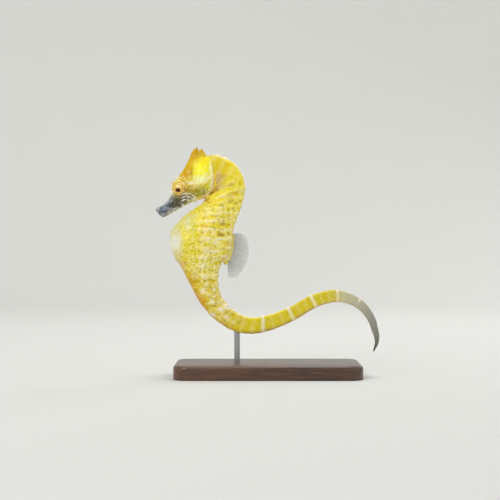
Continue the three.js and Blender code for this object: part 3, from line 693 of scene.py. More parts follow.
# Soft patches of colour: x, z, radius along, radius across, turn in degrees, colour, strength. They are laid
# on in this order, and a patch narrower than FINE_PATCH has a crisper edge.
PATCHES = (
    # The crown, the forehead and its ochre mark.
    (-20.0, 61.6, 3.0, 3.0, 0, "#c89c06", 1.0), (-22.0, 58.2, 3.2, 2.0, 50, "#ceac14", 0.9),
    (-22.7, 56.9, 2.3, 1.4, 42, "#cf9c00", 1.0), (-21.2, 57.5, 1.2, 0.26, 75, "#9a6a08", 0.85),
    # Cream, gold, tan and brown round the eye.
    (-25.0, 53.0, 2.9, 2.9, 0, "#d2b55e", 0.85), (-25.6, 55.1, 1.2, 0.5, 45, "#e4cf8a", 0.6),
    (-26.8, 53.2, 0.4, 1.3, 10, "#ead9a8", 0.6), (-23.2, 51.7, 1.3, 0.5, 0, "#d9b04c", 0.7),
    (-25.0, 54.8, 0.45, 0.3, 20, "#f6e8ba", 0.75), (-25.9, 55.0, 0.35, 0.28, 40, "#efe0b2", 0.7),
    (-23.75, 53.9, 0.45, 0.3, -45, "#fff3cc", 0.9), (-23.2, 53.1, 0.35, 0.28, -60, "#f6e2a8", 0.8),
    (-23.8, 50.95, 0.5, 0.28, 0, "#efe4bc", 0.8), (-22.7, 53.95, 0.4, 0.22, 20, "#8a7838", 0.7),
    (-22.2, 52.3, 0.5, 0.35, 0, "#bf8f48", 0.7), (-23.1, 51.9, 0.35, 0.25, 60, "#9a6f24", 0.8),
    # The cheek: bright yellow above, cream in the middle and olive below, with flecks.
    (-18.6, 57.7, 2.3, 3.3, 0, "#fcf634", 1.0), (-17.6, 60.2, 1.4, 1.6, 0, "#f4e42a", 0.7),
    (-18.6, 54.9, 2.4, 1.35, 15, "#f8f8bc", 0.95), (-21.3, 54.1, 1.3, 0.45, 10, "#f0e6c0", 0.85),
    (-18.9, 51.5, 2.5, 1.25, 5, "#8f8c0c", 0.95), (-21.7, 52.3, 1.2, 0.7, 0, "#a08524", 0.75),
    (-16.7, 52.9, 0.7, 0.5, 0, "#cad83c", 0.8), (-18.2, 53.2, 0.5, 0.35, 20, "#b8c43a", 0.7),
    (-17.6, 51.1, 0.4, 0.3, 0, "#6f6410", 0.7), (-19.7, 52.2, 0.45, 0.3, 0, "#7d7014", 0.6),
    # The snout: slate with bluish, silver and pale purple painted highlights, almost black at its root.
    (-28.9, 46.7, 5.8, 2.6, 34, "#444b57", 1.0), (-29.0, 47.0, 1.3, 0.7, 34, "#7f8aa6", 0.9),
    (-28.2, 48.8, 1.7, 0.45, 38, "#b3b8be", 0.9), (-26.8, 50.0, 0.7, 0.5, 50, "#a9a6b0", 0.85),
    (-27.0, 48.5, 0.9, 0.5, 34, "#34373d", 0.7), (-26.6, 47.3, 1.4, 0.35, 30, "#7b7f85", 0.7),
    # Below: a painted highlight on the upper lip, then the lower jaw's pale tip.
    (-30.65, 47.0, 0.6, 0.4, 60, "#b4bac8", 0.75), (-29.7, 45.1, 1.2, 0.6, 12, "#a2a4a9", 0.85),
    (-24.6, 49.0, 3.2, 1.9, 28, "#3b3a36", 1.0), (-22.2, 49.9, 1.7, 0.9, 12, "#8d8a80", 0.8),
    (-25.6, 46.7, 2.8, 0.4, 30, "#a3a3a2", 0.8),
    # Pale flecks below the snout's root, the nose and cheek spines, and the jaw's pale edge.
    (-23.8, 47.9, 0.4, 0.3, 0, "#e6e2d8", 0.9), (-26.05, 46.7, 0.45, 0.28, 20, "#d6d4ce", 0.9),
    (-27.6, 45.9, 0.4, 0.25, 20, "#cfcdc8", 0.9), (-28.3, 45.5, 0.35, 0.25, 20, "#c4c2be", 0.8),
    (-23.3, 49.6, 0.4, 0.3, 30, "#eeeae2", 0.9), (-27.1, 51.5, 0.8, 0.8, 0, "#f2efe6", 1.0),
    (-24.8, 50.7, 0.7, 0.8, 0, "#b8935c", 0.75), (-20.2, 49.2, 0.75, 0.6, 0, "#f4efe6", 1.0),
    (-17.7, 50.5, 1.5, 0.4, 20, "#eed6a4", 0.8),
    # The gill cover's pale edge, brown painted shade in the corner below it, and the throat.
    (-15.8, 57.0, 0.5, 3.2, 8, "#f5efb0", 0.9), (-15.4, 53.6, 0.5, 2.2, -8, "#d5c49c", 0.8),
    # The brown patches on this line and the next are painted shade below the gill cover and in the throat.
    (-13.7, 55.4, 1.0, 2.6, 0, "#ecc48e", 0.8), (-14.2, 52.5, 1.3, 0.8, 30, "#9c6400", 0.95),
    (-15.5, 51.3, 1.1, 0.4, 25, "#7d4f06", 0.85), (-17.2, 49.4, 1.2, 0.45, 20, "#9a6418", 0.8),
    (-16.3, 48.6, 1.2, 0.5, 35, "#dcaa48", 0.6),
    # Smudges and pale places on the neck.
    (-12.5, 56.0, 1.4, 0.7, 20, "#d3ac14", 0.7), (-11.6, 59.0, 1.2, 0.5, 10, "#d8b410", 0.6),
    (-10.4, 53.6, 1.4, 0.5, 20, "#c39c16", 0.7), (-9.4, 51.4, 1.1, 0.38, 0, "#c2900e", 0.75),
    (-10.3, 50.1, 1.2, 0.4, 5, "#f4dcc4", 0.75), (-10.3, 49.1, 1.0, 0.36, 0, "#b98f1c", 0.75),
    (-12.7, 50.4, 1.9, 0.7, 15, "#f6e8a8", 0.7), (-13.0, 52.9, 1.2, 0.6, 20, "#f2e2a0", 0.6),
    # Dots and dashes on the trunk.
    (-9.7, 46.9, 0.3, 0.26, 0, "#705a10", 0.8), (-10.85, 43.9, 0.32, 0.28, 0, "#80681c", 0.8),
    (-12.7, 47.7, 1.0, 0.26, 0, "#94800a", 0.85), (-15.4, 44.9, 0.5, 0.27, 0, "#9c8410", 0.85),
    (-14.2, 44.85, 0.6, 0.25, 0, "#9c8410", 0.85), (-11.35, 45.7, 0.75, 0.36, -25, "#a97c14", 0.8),
    (-12.4, 43.5, 0.85, 0.42, 0, "#ddcdbf", 0.85), (-12.6, 42.6, 1.05, 0.38, 0, "#97701c", 0.9),
    (-15.1, 41.6, 0.65, 0.33, -15, "#9a8c1c", 0.8), (-15.0, 43.2, 0.45, 0.35, 0, "#ab9814", 0.8),
    (-13.0, 40.9, 0.8, 0.45, 0, "#e5d9c2", 0.8), (-13.15, 39.7, 1.1, 0.5, 0, "#9d6a0e", 0.9),
    (-12.2, 37.3, 0.85, 0.24, 10, "#9c8f14", 0.8), (-12.5, 35.7, 0.45, 0.4, 0, "#908208", 0.85),
    (-17.4, 38.7, 0.33, 0.3, 0, "#9f9418", 0.8), (-18.9, 39.0, 0.38, 0.34, 0, "#cf960c", 0.85),
    (-17.4, 36.7, 0.5, 0.42, 0, "#d0ac04", 0.85), (-15.9, 36.2, 0.42, 0.4, 0, "#b29a10", 0.85),
    (-14.6, 37.5, 0.85, 0.55, 20, "#e6d3c8", 0.85), (-14.7, 36.5, 0.6, 0.33, 0, "#97782c", 0.8),
    (-17.2, 45.7, 0.4, 0.35, 0, "#b2a120", 0.75), (-16.0, 47.2, 0.4, 0.3, 0, "#b2a120", 0.6),
    # The flank's colours, the pale and green stripes, and the white belly.
    (-17.5, 44.0, 3.0, 2.4, 30, "#f4e120", 0.5), (-17.6, 42.0, 1.35, 0.42, -12, "#e2ab1c", 0.85),
    (-22.3, 42.8, 0.9, 2.3, -5, "#e6e6ba", 0.85), (-20.6, 42.6, 0.8, 2.8, -5, "#ccd27a", 0.6),
    (-25.9, 37.4, 2.0, 2.8, -10, "#e9e9df", 1.0), (-22.9, 39.4, 1.0, 2.2, 25, "#f6e65c", 0.75),
    (-24.6, 43.0, 1.6, 1.3, 30, "#ebe592", 0.5),
    # White, cream and pink along the low back, and painted shade along the fin's root.
    (-13.2, 38.5, 1.7, 0.45, 0, "#fbf4dc", 0.9), (-14.9, 34.9, 2.2, 0.55, 8, "#fbf0dc", 0.9),
    (-17.2, 35.0, 0.9, 0.5, 0, "#f4e8d4", 0.7), (-12.6, 36.2, 2.0, 2.4, 0, "#fbec8a", 0.6),
    (-11.3, 33.2, 0.6, 0.5, 0, "#fbecd0", 0.9), (-12.4, 33.4, 0.9, 0.5, 0, "#d8a46c", 0.8),
    (-10.9, 36.8, 0.5, 0.9, 0, "#d0a64c", 0.5), (-18.0, 31.6, 1.5, 0.9, 0, "#dadaa4", 0.8),
    (-15.6, 32.9, 0.4, 0.4, 0, "#bda60c", 0.8), (-15.0, 31.7, 0.4, 0.4, 0, "#b3a018", 0.8),
    # Painted shade where the dorsal fin meets the back.
    (-8.7, 35.6, 0.6, 4.2, 8, "#7d6c34", 0.9),
    # The lower trunk and the pouch.
    (-19.6, 33.5, 2.2, 2.4, 0, "#dccc3c", 0.6), (-24.0, 31.0, 0.8, 1.6, -20, "#deb488", 0.6),
    (-20.8, 26.8, 1.2, 3.4, -18, "#cca236", 0.8), (-18.5, 21.9, 1.6, 0.9, -45, "#d29c2c", 0.85),
    # The cream ring and the pale spots on the tail's base.
    (-17.3, 27.9, 0.75, 0.7, 0, "#f4ecc8", 0.85), (-17.3, 27.9, 0.22, 0.22, 0, "#8f8430", 0.9),
    (-18.1, 24.0, 0.85, 0.7, 0, "#f6ead2", 0.95), (-15.0, 24.4, 0.6, 0.55, 0, "#f4ead0", 0.85),
    (-14.9, 22.7, 0.5, 0.5, 0, "#f2e4cc", 0.8), (-15.6, 21.2, 0.55, 0.5, 0, "#f6e9d4", 0.85),
    # The white saddle on the tail's bend.
    (-11.6, 19.7, 1.3, 0.6, -40, "#fcf6ea", 1.0), (-13.0, 18.9, 1.1, 0.6, -40, "#f6eadc", 0.9),
    (-15.1, 17.4, 1.1, 0.5, -40, "#f2e4d4", 0.9), (-11.4, 16.4, 1.2, 0.6, -40, "#f0d8b0", 0.7),
)
FINE_PATCH = 0.7
CHEEK_SPECKS = 70
# White bands round the tail: ring, strength below. All are strong along the back.
WHITE_BANDS = ((23.0, 0.75), (26.0, 0.65), (29.0, 0.7), (32.1, 0.45), (35.0, 0.1))
BAND_WIDTH = 0.155  # in rings
MARK_COLOURS = ("#94800a", "#a97c14", "#8c8420", "#b08a1c", "#7f7416")
NECK_MARK_COLOURS = ("#cfa80e", "#d2b012", "#b8981c")
RICHER = 1.16  # paint on a glossy body looks greyer than it is, so it is mixed that much stronger
DARKEST = 0.004
# Places with less mottling: the crown, the white belly and the ochre mark. x, z, radius, share taken away.
PLAIN_SPOTS = ((-19.8, 62.3, 2.6, 0.6), (-26.0, 37.6, 2.4, 0.7), (-22.7, 56.9, 2.2, 0.7))


def ramp(stops, at):
    """Colours between stops of (position, colour)."""
    positions, colours = zip(*stops)
    channels = np.array([linear(colour)[:3] for colour in colours]).T
    return np.stack([np.interp(at, positions, channel) for channel in channels], axis=1)


def cover_with(colour, shade, cover):
    """Lays a colour over the ground with a cover from 0 to 1."""
    return colour + (np.array(linear(shade)[:3]) - colour) * np.clip(cover, 0, 1)[:, None]


def scattered_marks():
    """Dashes and dots in rows round the body: ring, share of the way from back to belly, side, half sizes,
    colour and strength."""
    draw = random.Random(17)
    marks = []
    for ring in range(1, 21):
        for side in (-1, 1):
            down = draw.uniform(0.1, 0.2)
            while down < 0.85:
                dash = draw.random() < 0.45
                long = draw.uniform(0.45, 0.95) if dash else draw.uniform(0.2, 0.34)
                short = draw.uniform(0.2, 0.28) if dash else long
                # A dash lies between two rings, and a dot may lie on one.
                place = ring + 0.5 + draw.uniform(-0.16, 0.16) if dash else ring + draw.uniform(-0.1, 0.9)
                fade = 1.0 if down < 0.55 else 0.6
                shade = draw.choice(NECK_MARK_COLOURS if ring < 5 else MARK_COLOURS)
                marks.append((place, down, side, long, short, shade, draw.uniform(0.45, 0.9) * fade))
                down += draw.uniform(0.07, 0.17)
    return marks


def surface_place(ring, down, side):
    """A place on the body by ring, share of the way from back to belly and side, and the way down there."""
    middle, up, half_depth, half_width = (values[0] for values in body_axes(ring))
    outline = half_outlines(np.array([ring]))[0] * (half_depth, half_width)
    run = run_along(outline)
    here_and_below = np.array((down, down + 0.02)) * run[-1]
    height, out = (np.interp(here_and_below, run, outline[:, k]) for k in range(2))
    across = middle + up * height[:, None]
    places = np.stack([across[:, 0], side * out, across[:, 1]], axis=1)
    way = places[1] - places[0]
    return places[0], way / np.linalg.norm(way)


def paint_marks(colour, points, fine):
    """The scattered dashes and dots, each in a pale ring."""
    for ring, down, side, long, short, shade, strength in scattered_marks():
        centre, way = surface_place(ring, down, side)
        near = np.flatnonzero(np.abs(points - centre).max(axis=1) < 2.2 * long)
        offset = points[near] - centre
        first = offset @ way
        second = np.sqrt(np.maximum((offset**2).sum(axis=1) - first**2, 0))
        reach = np.sqrt((first / long) ** 2 + (second / short) ** 2) * (1 + 0.35 * fine[near])
        colour[near] = cover_with(colour[near], "#f8eeb8", 0.3 * strength * bell(reach - 1.7, 0.5))
        colour[near] = cover_with(colour[near], shade, strength * np.exp(-(reach**3)))
    return colour


def paint_patches(colour, shift):
    """The soft patches, on places that are a little shifted so that no edge is even."""
    for x, z, long, short, turn, shade, strength in PATCHES:
        angle = math.radians(turn)
        offset = shift - (x, z)
        first = offset @ (math.cos(angle), math.sin(angle)) / long
        second = offset @ (-math.sin(angle), math.cos(angle)) / short
        edge = 2.4 if short < FINE_PATCH else 1.4
        colour = cover_with(colour, shade, strength * np.exp(-((first**2 + second**2) ** edge)))
    return colour


def paint_head(colour, points, at, fine):
    """Streaks along the snout, pale rays on the gill cover, white folds and papillae, and cream specks."""
    drawn_out = np.stack([at.along * 0.55, at.up * 1.7, points[:, 1] * 1.7], axis=1)
    streak = ripple(drawn_out, 1.5, 33) + 0.8 * ripple(drawn_out, 0.7, 34)
    on_snout = smoothstep(7.6, 5.6, at.along + 0.5 * at.up) * smoothstep(-0.2, -1.2, at.behind)
    colour = cover_with(colour, "#aab0bc", 0.55 * on_snout * smoothstep(0.15, 1.1, streak))
    colour = cover_with(colour, "#2a2d33", 0.55 * on_snout * smoothstep(-0.15, -1.1, streak))
    spread, rays = gill_rays(points, at)
    rays = rays * (0.6 + 0.5 * fine)
    on_cover = smoothstep(1.5, 3.0, spread) * smoothstep(9.0, 6.5, spread)
    on_cover = on_cover * smoothstep(-0.3, -1.2, at.behind) * smoothstep(0, 1.5, at.along - GILL_FOOT[0])
    colour = cover_with(colour, "#fffce0", 0.4 * on_cover * np.maximum(rays, 0))
    colour = cover_with(colour, "#b9ae18", 0.22 * on_cover * np.maximum(-rays, 0))
    for fold in CHEEK_FOLDS[:-1]:
        gap = near_line(points, fold)[0]
        # The dark line in the furrow beside each fold is painted shade in the crease, and the fold itself is
        # white.
        furrow = bell(gap - 0.36, 0.17) * np.clip(0.8 + 0.5 * fine, 0, 1)
        colour = cover_with(colour, "#3f3b30", 0.65 * furrow)
        broken = np.clip(0.75 + 0.9 * ripple(points, 0.7, 31), 0.1, 1)
        colour = cover_with(colour, "#fbf8f0", bell(gap, 0.14) * broken)
    for along, up, radius in PAPILLAE:
        away = np.hypot(at.along - along, at.up - up)
        colour = cover_with(colour, "#faf4e2", smoothstep(0.5, -0.2, at.behind) * bell(away, radius * 1.1))
    draw = random.Random(5)
    for _ in range(CHEEK_SPECKS):
        along, up, radius = draw.uniform(9.0, 17.5), draw.gauss(0.6, 2.3), draw.uniform(0.09, 0.17)
        speck = draw.uniform(0.4, 0.9) * bell(np.hypot(at.along - along, at.up - up), radius)
        colour = cover_with(colour, "#fffbe4", smoothstep(0.2, -0.4, at.behind) * speck)
    return colour


def paint_bands(colour, at, uneven):
    """The white bands round the tail, with a darker edge on both sides."""
    for band, below in WHITE_BANDS:
        away = at.ring - band - 0.05 * uneven
        tone = below + (1 - below) * smoothstep(-0.1, 0.9, at.height)
        edges = bell(np.abs(away) - 2 * BAND_WIDTH, BAND_WIDTH * 0.6)
        colour = cover_with(colour, "#a08a30", 0.25 * tone * edges)
        colour = cover_with(colour, "#f9f0d6", tone * bell(away, BAND_WIDTH) ** 0.7)
    return colour


def paint(points, at):
    """The painter's ground and airbrushed patches, as linear colours."""
    uneven, fine = ripple(points, 3.0, 11), ripple(points, 1.1, 12)
    colour = ramp(FLANK, at.ring)
    belly = smoothstep(-0.35, -1.0, at.height + 0.12 * uneven)
    colour += (ramp(BELLY, at.ring) - colour) * belly[:, None]
    colour = paint_marks(colour, points, fine)
    back = smoothstep(0.85, 1.02, at.height + 0.05 * uneven)
    back = back * smoothstep(0.5, 1.5, at.ring) * smoothstep(30, 20, at.ring)
    colour = cover_with(colour, "#f6e88e", 0.55 * back)
    colour = paint_patches(colour, points[:, (0, 2)] + 0.12 * np.stack([fine, uneven], axis=1))
    colour = paint_head(colour, points, at, fine)
    for x, y, z, radius in FLECKS:
        away = np.linalg.norm(points - (x, y, z), axis=1)
        colour = cover_with(colour, "#fffffb", 1.7 * bell(away, radius * 1.2))
    colour = paint_bands(colour, at, uneven)
    grey = (colour @ (0.3, 0.6, 0.1))[:, None]
    return np.clip(grey + (colour - grey) * RICHER, DARKEST, 1)


# -------------------------------------------------------------------------------- the skin piece

# The skin laid out flat, in millimetres: the left side of the body, the right side above it, and above both
# the two sides of the head.
SHEET_SIZE = (115, 77)
SHEET_EDGE = 0.01
RIGHT_BODY_UP = 26
HEAD_CORNER = (-31.5, 45.0)  # x, z
HEAD_UP = 54
RIGHT_HEAD_ALONG = 22


def unwrap_skin(mesh, points, at):
    """Lays the skin out flat for baking: the left and right sides unrolled along the back, head apart."""
    corner = read(mesh.loops, "vertex_index", 1, int)
    count = read(mesh.polygons, "loop_total", 1, int)
    face = np.repeat(np.arange(len(count)), count)
    on_left = (np.bincount(face, points[corner, 1]) < 0)[face]
    on_head = (np.bincount(face, at.behind[corner]) < 0)[face]
    ring = all_rings(PLACE_STEP)
    travelled = np.interp(at.ring, ring, run_along(body_axes(ring)[0]))
    head_u = points[corner, 0] - HEAD_CORNER[0] + np.where(on_left, 0, RIGHT_HEAD_ALONG)
    head_v = points[corner, 2] - HEAD_CORNER[1] + HEAD_UP
    body_v = at.round[corner] + np.where(on_left, 0, RIGHT_BODY_UP)
    u = np.where(on_head, head_u, travelled[corner])
    v = np.where(on_head, head_v, body_v)
    layer = mesh.uv_layers.new(name="OFBake")
    layer.uv.foreach_set("vector", (np.stack([u, v], axis=1) / SHEET_SIZE + SHEET_EDGE).ravel())


def place_skin(points):
    """Where each point lies: along and round the body, behind the gill line, and in the head's axes."""
    ring, height, distance = ring_places(points)
    behind = behind_gill(points)
    flat = points[:, (0, 2)] - MOUTH
    return SimpleNamespace(
        ring=ring, height=height, round=distance, behind=behind, along=flat @ ALONG, up=flat @ UP,
        on_head=1 - smoothstep(-0.2, 0.5, behind),
    )


def give_masks(mesh, points, at, crest, knob):
    """Keeps with each point how strongly each pattern of the skin's material shows there."""
    ring, height = at.ring, at.height
    trunk = smoothstep(0.2, 1.2, at.behind) * smoothstep(21.5, 18.0, ring) * smoothstep(0.8, 3.5, ring)
    glassy = smoothstep(-0.2, -1.2, at.behind) * smoothstep(8.6, 6.2, at.along + 0.5 * at.up)
    coloured = smoothstep(34.0, 31.5, ring)
    # The mottling is weaker on the grey tail end, the snout, the nape and the plain spots.
    nape = smoothstep(-0.3, 0.5, at.behind) * smoothstep(4.5, 2.5, ring)
    mottled = (0.4 + 0.6 * trunk * smoothstep(-1.2, -0.7, height)) * (0.15 + 0.85 * coloured)
    mottled *= (1 - 0.75 * glassy) * (1 - 0.5 * nape)
    for x, z, radius, share in PLAIN_SPOTS:
        mottled *= 1 - share * bell(np.hypot(points[:, 0] - x, points[:, 2] - z), radius)
    netted = trunk * smoothstep(-0.7, 0.0, height) * (0.4 + 0.6 * smoothstep(4.0, 6.5, ring))
    peppered = trunk * smoothstep(-1.1, -0.6, height) * (0.3 + 0.7 * smoothstep(8.0, 12.0, ring))
    give(mesh, "mottled", mottled)
    give(mesh, "netted", netted * smoothstep(19.5, 14.0, ring))
    give(mesh, "peppered", peppered)
    give(mesh, "crest", crest * (0.2 + 0.8 * coloured))
    give(mesh, "knob", np.clip(knob, 0, 1) * smoothstep(3, 8, ring) * smoothstep(22, 18, ring))
    give(mesh, "glassy", glassy)


def build_skin(name):
    mesh = joined_skin()
    points = read(mesh.vertices, "co") * PER_MM
    from_coronet = np.linalg.norm(points[:, (0, 2)] - CORONET_ROOT, axis=1)
    joins = bell(behind_gill(points), GILL_SOFT) + bell(from_coronet, CORONET_SOFT)
    soft = np.clip(0.75 + 0.25 * joins, 0, 1)
    points = relax(points, read(mesh.edges, "vertices", 2, int), soft)
    set_points(mesh, points)
    at = place_skin(points)
    points, crest, knob = add_relief(points, read(mesh.vertices, "normal"), at)
    set_points(mesh, points)
    colour = paint(points, at)
    layer = mesh.color_attributes.new("paint", "FLOAT_COLOR", "POINT")
    layer.data.foreach_set("color", np.pad(colour, ((0, 0), (0, 1)), constant_values=1).ravel())
    give_masks(mesh, points, at, crest, knob)
    unwrap_skin(mesh, points, at)
    mesh.shade_smooth()
    mesh.name = name
    return make_object(name, mesh)


# -------------------------------------------------------------------------------- materials

def add(tree, kind, inputs=None, **settings):
    """Adds a node with its settings. An input is a value, a socket to link, or a node with one result."""
    made = tree.nodes.new(kind)
    for name, value in settings.items():
        setattr(made, name, value)
    for key, value in (inputs or {}).items():
        if isinstance(value, bpy.types.Node):
            value = next(socket for socket in value.outputs if socket.enabled)
        if isinstance(value, bpy.types.NodeSocket):
            tree.links.new(value, made.inputs[key])
        else:
            made.inputs[key].default_value = value
    return made


def new_material(name):
    material = bpy.data.materials.new(name)
    material.use_nodes = True
    material.node_tree.nodes.clear()
    return material, material.node_tree


def lay_colours(tree, ground, layers):
    """Lays colours over a ground. A layer is a colour, its strength, a mask or None, and the patterns that
    it follows, each with the two values between which the colour comes in."""
    for shade, strength, mask, *patterns in layers:
        cover = strength
        if mask:
            cover = add(tree, "ShaderNodeMath", {0: mask, 1: strength}, operation="MULTIPLY")
        for pattern, none, full in patterns:
            step = {"Value": pattern, "From Min": none, "From Max": full}
            step = add(tree, "ShaderNodeMapRange", step, interpolation_type="SMOOTHSTEP")
            cover = add(tree, "ShaderNodeMath", {0: step, 1: cover}, operation="MULTIPLY")
        ground = add(tree, "ShaderNodeMix", {0: cover, 6: ground, 7: linear(shade)}, data_type="RGBA")
    return ground


def skin_material():
    """Moist fish skin over bony rings: light soaks in a little, and a thin wet film gives highlights."""
    material, tree = new_material("Moist_fish_skin")
    place = add(tree, "ShaderNodeTexCoord").outputs["Object"]
    paint_layer = add(tree, "ShaderNodeAttribute", attribute_name="paint").outputs["Color"]
    mottled, netted, peppered, crest, knob, glassy = (
        add(tree, "ShaderNodeAttribute", attribute_name=name).outputs["Fac"]
        for name in ("mottled", "netted", "peppered", "crest", "knob", "glassy")
    )
    # Clouds about 2.4 mm across, and flecks of two thirds of a millimetre.
    cloud = {"Vector": place, "Scale": PER_MM / 2.381, "Detail": 3, "Roughness": 0.55}
    cloud = add(tree, "ShaderNodeTexNoise", cloud)
    fleck = {"Vector": place, "Scale": PER_MM / 0.6667, "Detail": 2, "Roughness": 0.55}
    fleck = add(tree, "ShaderNodeTexNoise", fleck)
    # The net's meshes are about 1.4 mm wide. Its threads bend by up to half a millimetre and vary in width.
    bend = add(tree, "ShaderNodeTexNoise", {"Vector": place, "Scale": PER_MM / 1.111, "Detail": 2})
    bent = {0: 1.1 * MM, 4: place, 5: bend.outputs["Color"]}
    bent = add(tree, "ShaderNodeMix", bent, data_type="VECTOR")
    net = {"Vector": bent, "Scale": PER_MM / 1.389}
    thread = add(tree, "ShaderNodeTexVoronoi", net, feature="DISTANCE_TO_EDGE")
    thread = add(tree, "ShaderNodeMath", {0: fleck, 1: -0.36, 2: thread}, operation="MULTIPLY_ADD")
    mesh = add(tree, "ShaderNodeTexVoronoi", net)
    chosen = add(tree, "ShaderNodeSeparateColor", {"Color": mesh.outputs["Color"]})
    # Pepper: dark and pale dots in cells 0.8 mm wide.
    stir = add(tree, "ShaderNodeTexNoise", {"Vector": place, "Scale": PER_MM / 0.3333, "Detail": 2})
    stirred = {0: 0.35 * MM, 4: place, 5: stir.outputs["Color"]}
    stirred = add(tree, "ShaderNodeMix", stirred, data_type="VECTOR")
    dot = add(tree, "ShaderNodeTexVoronoi", {"Vector": stirred, "Scale": PER_MM / 0.8})
    worth = add(tree, "ShaderNodeSeparateColor", {"Color": dot.outputs["Color"]})
    # Cream and lemon clouds, pale and ochre flecks, the cream net with gold and olive dots in some of its
    # meshes, dark and pale pepper, and paler crests and tubercles.
    colour = lay_colours(tree, paint_layer, (
        ("#f8eb96", 0.4, mottled, (cloud, 0.52, 0.68)),
        ("#ecd312", 0.45, mottled, (cloud, 0.44, 0.32)),
        ("#fcf3be", 0.4, mottled, (fleck, 0.54, 0.68)),
        ("#b89614", 0.45, mottled, (fleck, 0.5, 0.3)),
        ("#fcf1a8", 0.75, netted, (thread, 0.0, -0.14), (cloud, 0.38, 0.55)),
        ("#e0bc08", 0.5, netted, (mesh, 0.4, 0.15), (chosen.outputs[1], 0.35, 0.5)),
        ("#8d8010", 0.7, netted, (mesh, 0.26, 0.12), (chosen.outputs[0], 0.45, 0.55)),
        ("#7d7418", 0.7, peppered, (dot, 0.32, 0.12), (worth.outputs[0], 0.5, 0.62)),
        ("#fdf5dc", 0.7, peppered, (dot, 0.32, 0.12), (worth.outputs[0], 0.4, 0.28)),
        ("#fbf3bb", 0.14, crest),
        ("#fcf2cf", 0.55, knob),
    ))
    # Skin grains and wrinkles 0.2 to 0.4 mm across. The snout is smoother and glossier.
    grain = {"Vector": place, "Scale": PER_MM / 0.3846, "Detail": 3, "Roughness": 0.6}
    grain = add(tree, "ShaderNodeTexNoise", grain)
    pores = add(tree, "ShaderNodeTexVoronoi", {"Vector": place, "Scale": PER_MM / 0.2381})
    height = add(tree, "ShaderNodeMath", {0: pores, 1: 0.6, 2: grain}, operation="MULTIPLY_ADD")
    bump = add(tree, "ShaderNodeBump", {"Strength": 0.4, "Distance": 0.1 * MM, "Height": height})
    rough = add(tree, "ShaderNodeMapRange", {"Value": grain, "To Min": 0.4, "To Max": 0.62})
    rough = add(tree, "ShaderNodeMath", {0: glassy, 1: -0.22, 2: rough}, operation="MULTIPLY_ADD")
    shader = add(tree, "ShaderNodeBsdfPrincipled", {
        "Base Color": colour, "Roughness": rough, "IOR": 1.4, "Normal": bump, "Specular IOR Level": 0.25,
        "Subsurface Weight": 0.06, "Subsurface Radius": (1.0, 0.85, 0.4), "Subsurface Scale": 0.5 * MM,
        "Coat Weight": 0.12, "Coat Roughness": 0.2,
    })
    add(tree, "ShaderNodeOutputMaterial", {"Surface": shader})
    return material


def eye_material():
    """A fish's eye: a gold iris with tan spokes and pale flecks, a dark oval pupil and a clear cornea."""
    material, tree = new_material("Fish_eye_under_clear_cornea")
    polar = add(tree, "ShaderNodeAttribute", attribute_name="polar").outputs["Vector"]
    radius, spoke_x, spoke_y = add(tree, "ShaderNodeSeparateXYZ", {0: polar}).outputs
    place = add(tree, "ShaderNodeTexCoord").outputs["Object"]
    # Spokes run outwards: the pattern changes fast round the pupil and slowly away from it.
    spokes = add(tree, "ShaderNodeCombineXYZ", {0: spoke_x, 1: spoke_y, 2: radius})
    spokes = add(tree, "ShaderNodeMapping", {"Vector": spokes, "Scale": (2.6, 2.6, 1.2)})
    streak = {"Vector": spokes, "Scale": 2.0, "Detail": 4, "Roughness": 0.7}
    streak = add(tree, "ShaderNodeTexNoise", streak)
    # Flecks half a millimetre across also roughen the edge of the pupil and of the grey front.
    mottle = {"Vector": place, "Scale": PER_MM / 0.5263, "Detail": 3, "Roughness": 0.6}
    mottle = add(tree, "ShaderNodeTexNoise", mottle)
    front = add(tree, "ShaderNodeSeparateXYZ", {0: place}).outputs["X"]
    front = add(tree, "ShaderNodeMath", {0: mottle, 1: 0.8 * MM, 2: front}, operation="MULTIPLY_ADD")
    edge = add(tree, "ShaderNodeMath", {0: mottle, 1: 0.05, 2: radius}, operation="MULTIPLY_ADD")
    colour = lay_colours(tree, linear("#f2c84c"), (
        ("#b98a34", 0.7, None, (streak, 0.44, 0.7)),
        ("#d0b058", 0.8, None, (radius, 0.5, 0.9)),
        ("#fbeab4", 0.8, None, (mottle, 0.52, 0.64)),
        ("#a9782c", 0.5, None, (mottle, 0.44, 0.32)),
        ("#c47a2c", 0.5, None, (radius, 0.27, 0.31), (radius, 0.42, 0.33)),
        ("#c2b58a", 0.7, None, (front, -25.5 * MM, -26.5 * MM)),
        ("#4a1602", 1.0, None, (edge, 0.33, 0.26)),
    ))
    shader = add(tree, "ShaderNodeBsdfPrincipled", {
        "Base Color": colour, "Roughness": 0.35, "IOR": 1.38, "Specular IOR Level": 0.15,
        "Coat Weight": 0.6, "Coat Roughness": 0.04, "Coat IOR": 1.38,
    })
    add(tree, "ShaderNodeOutputMaterial", {"Surface": shader})
    return material


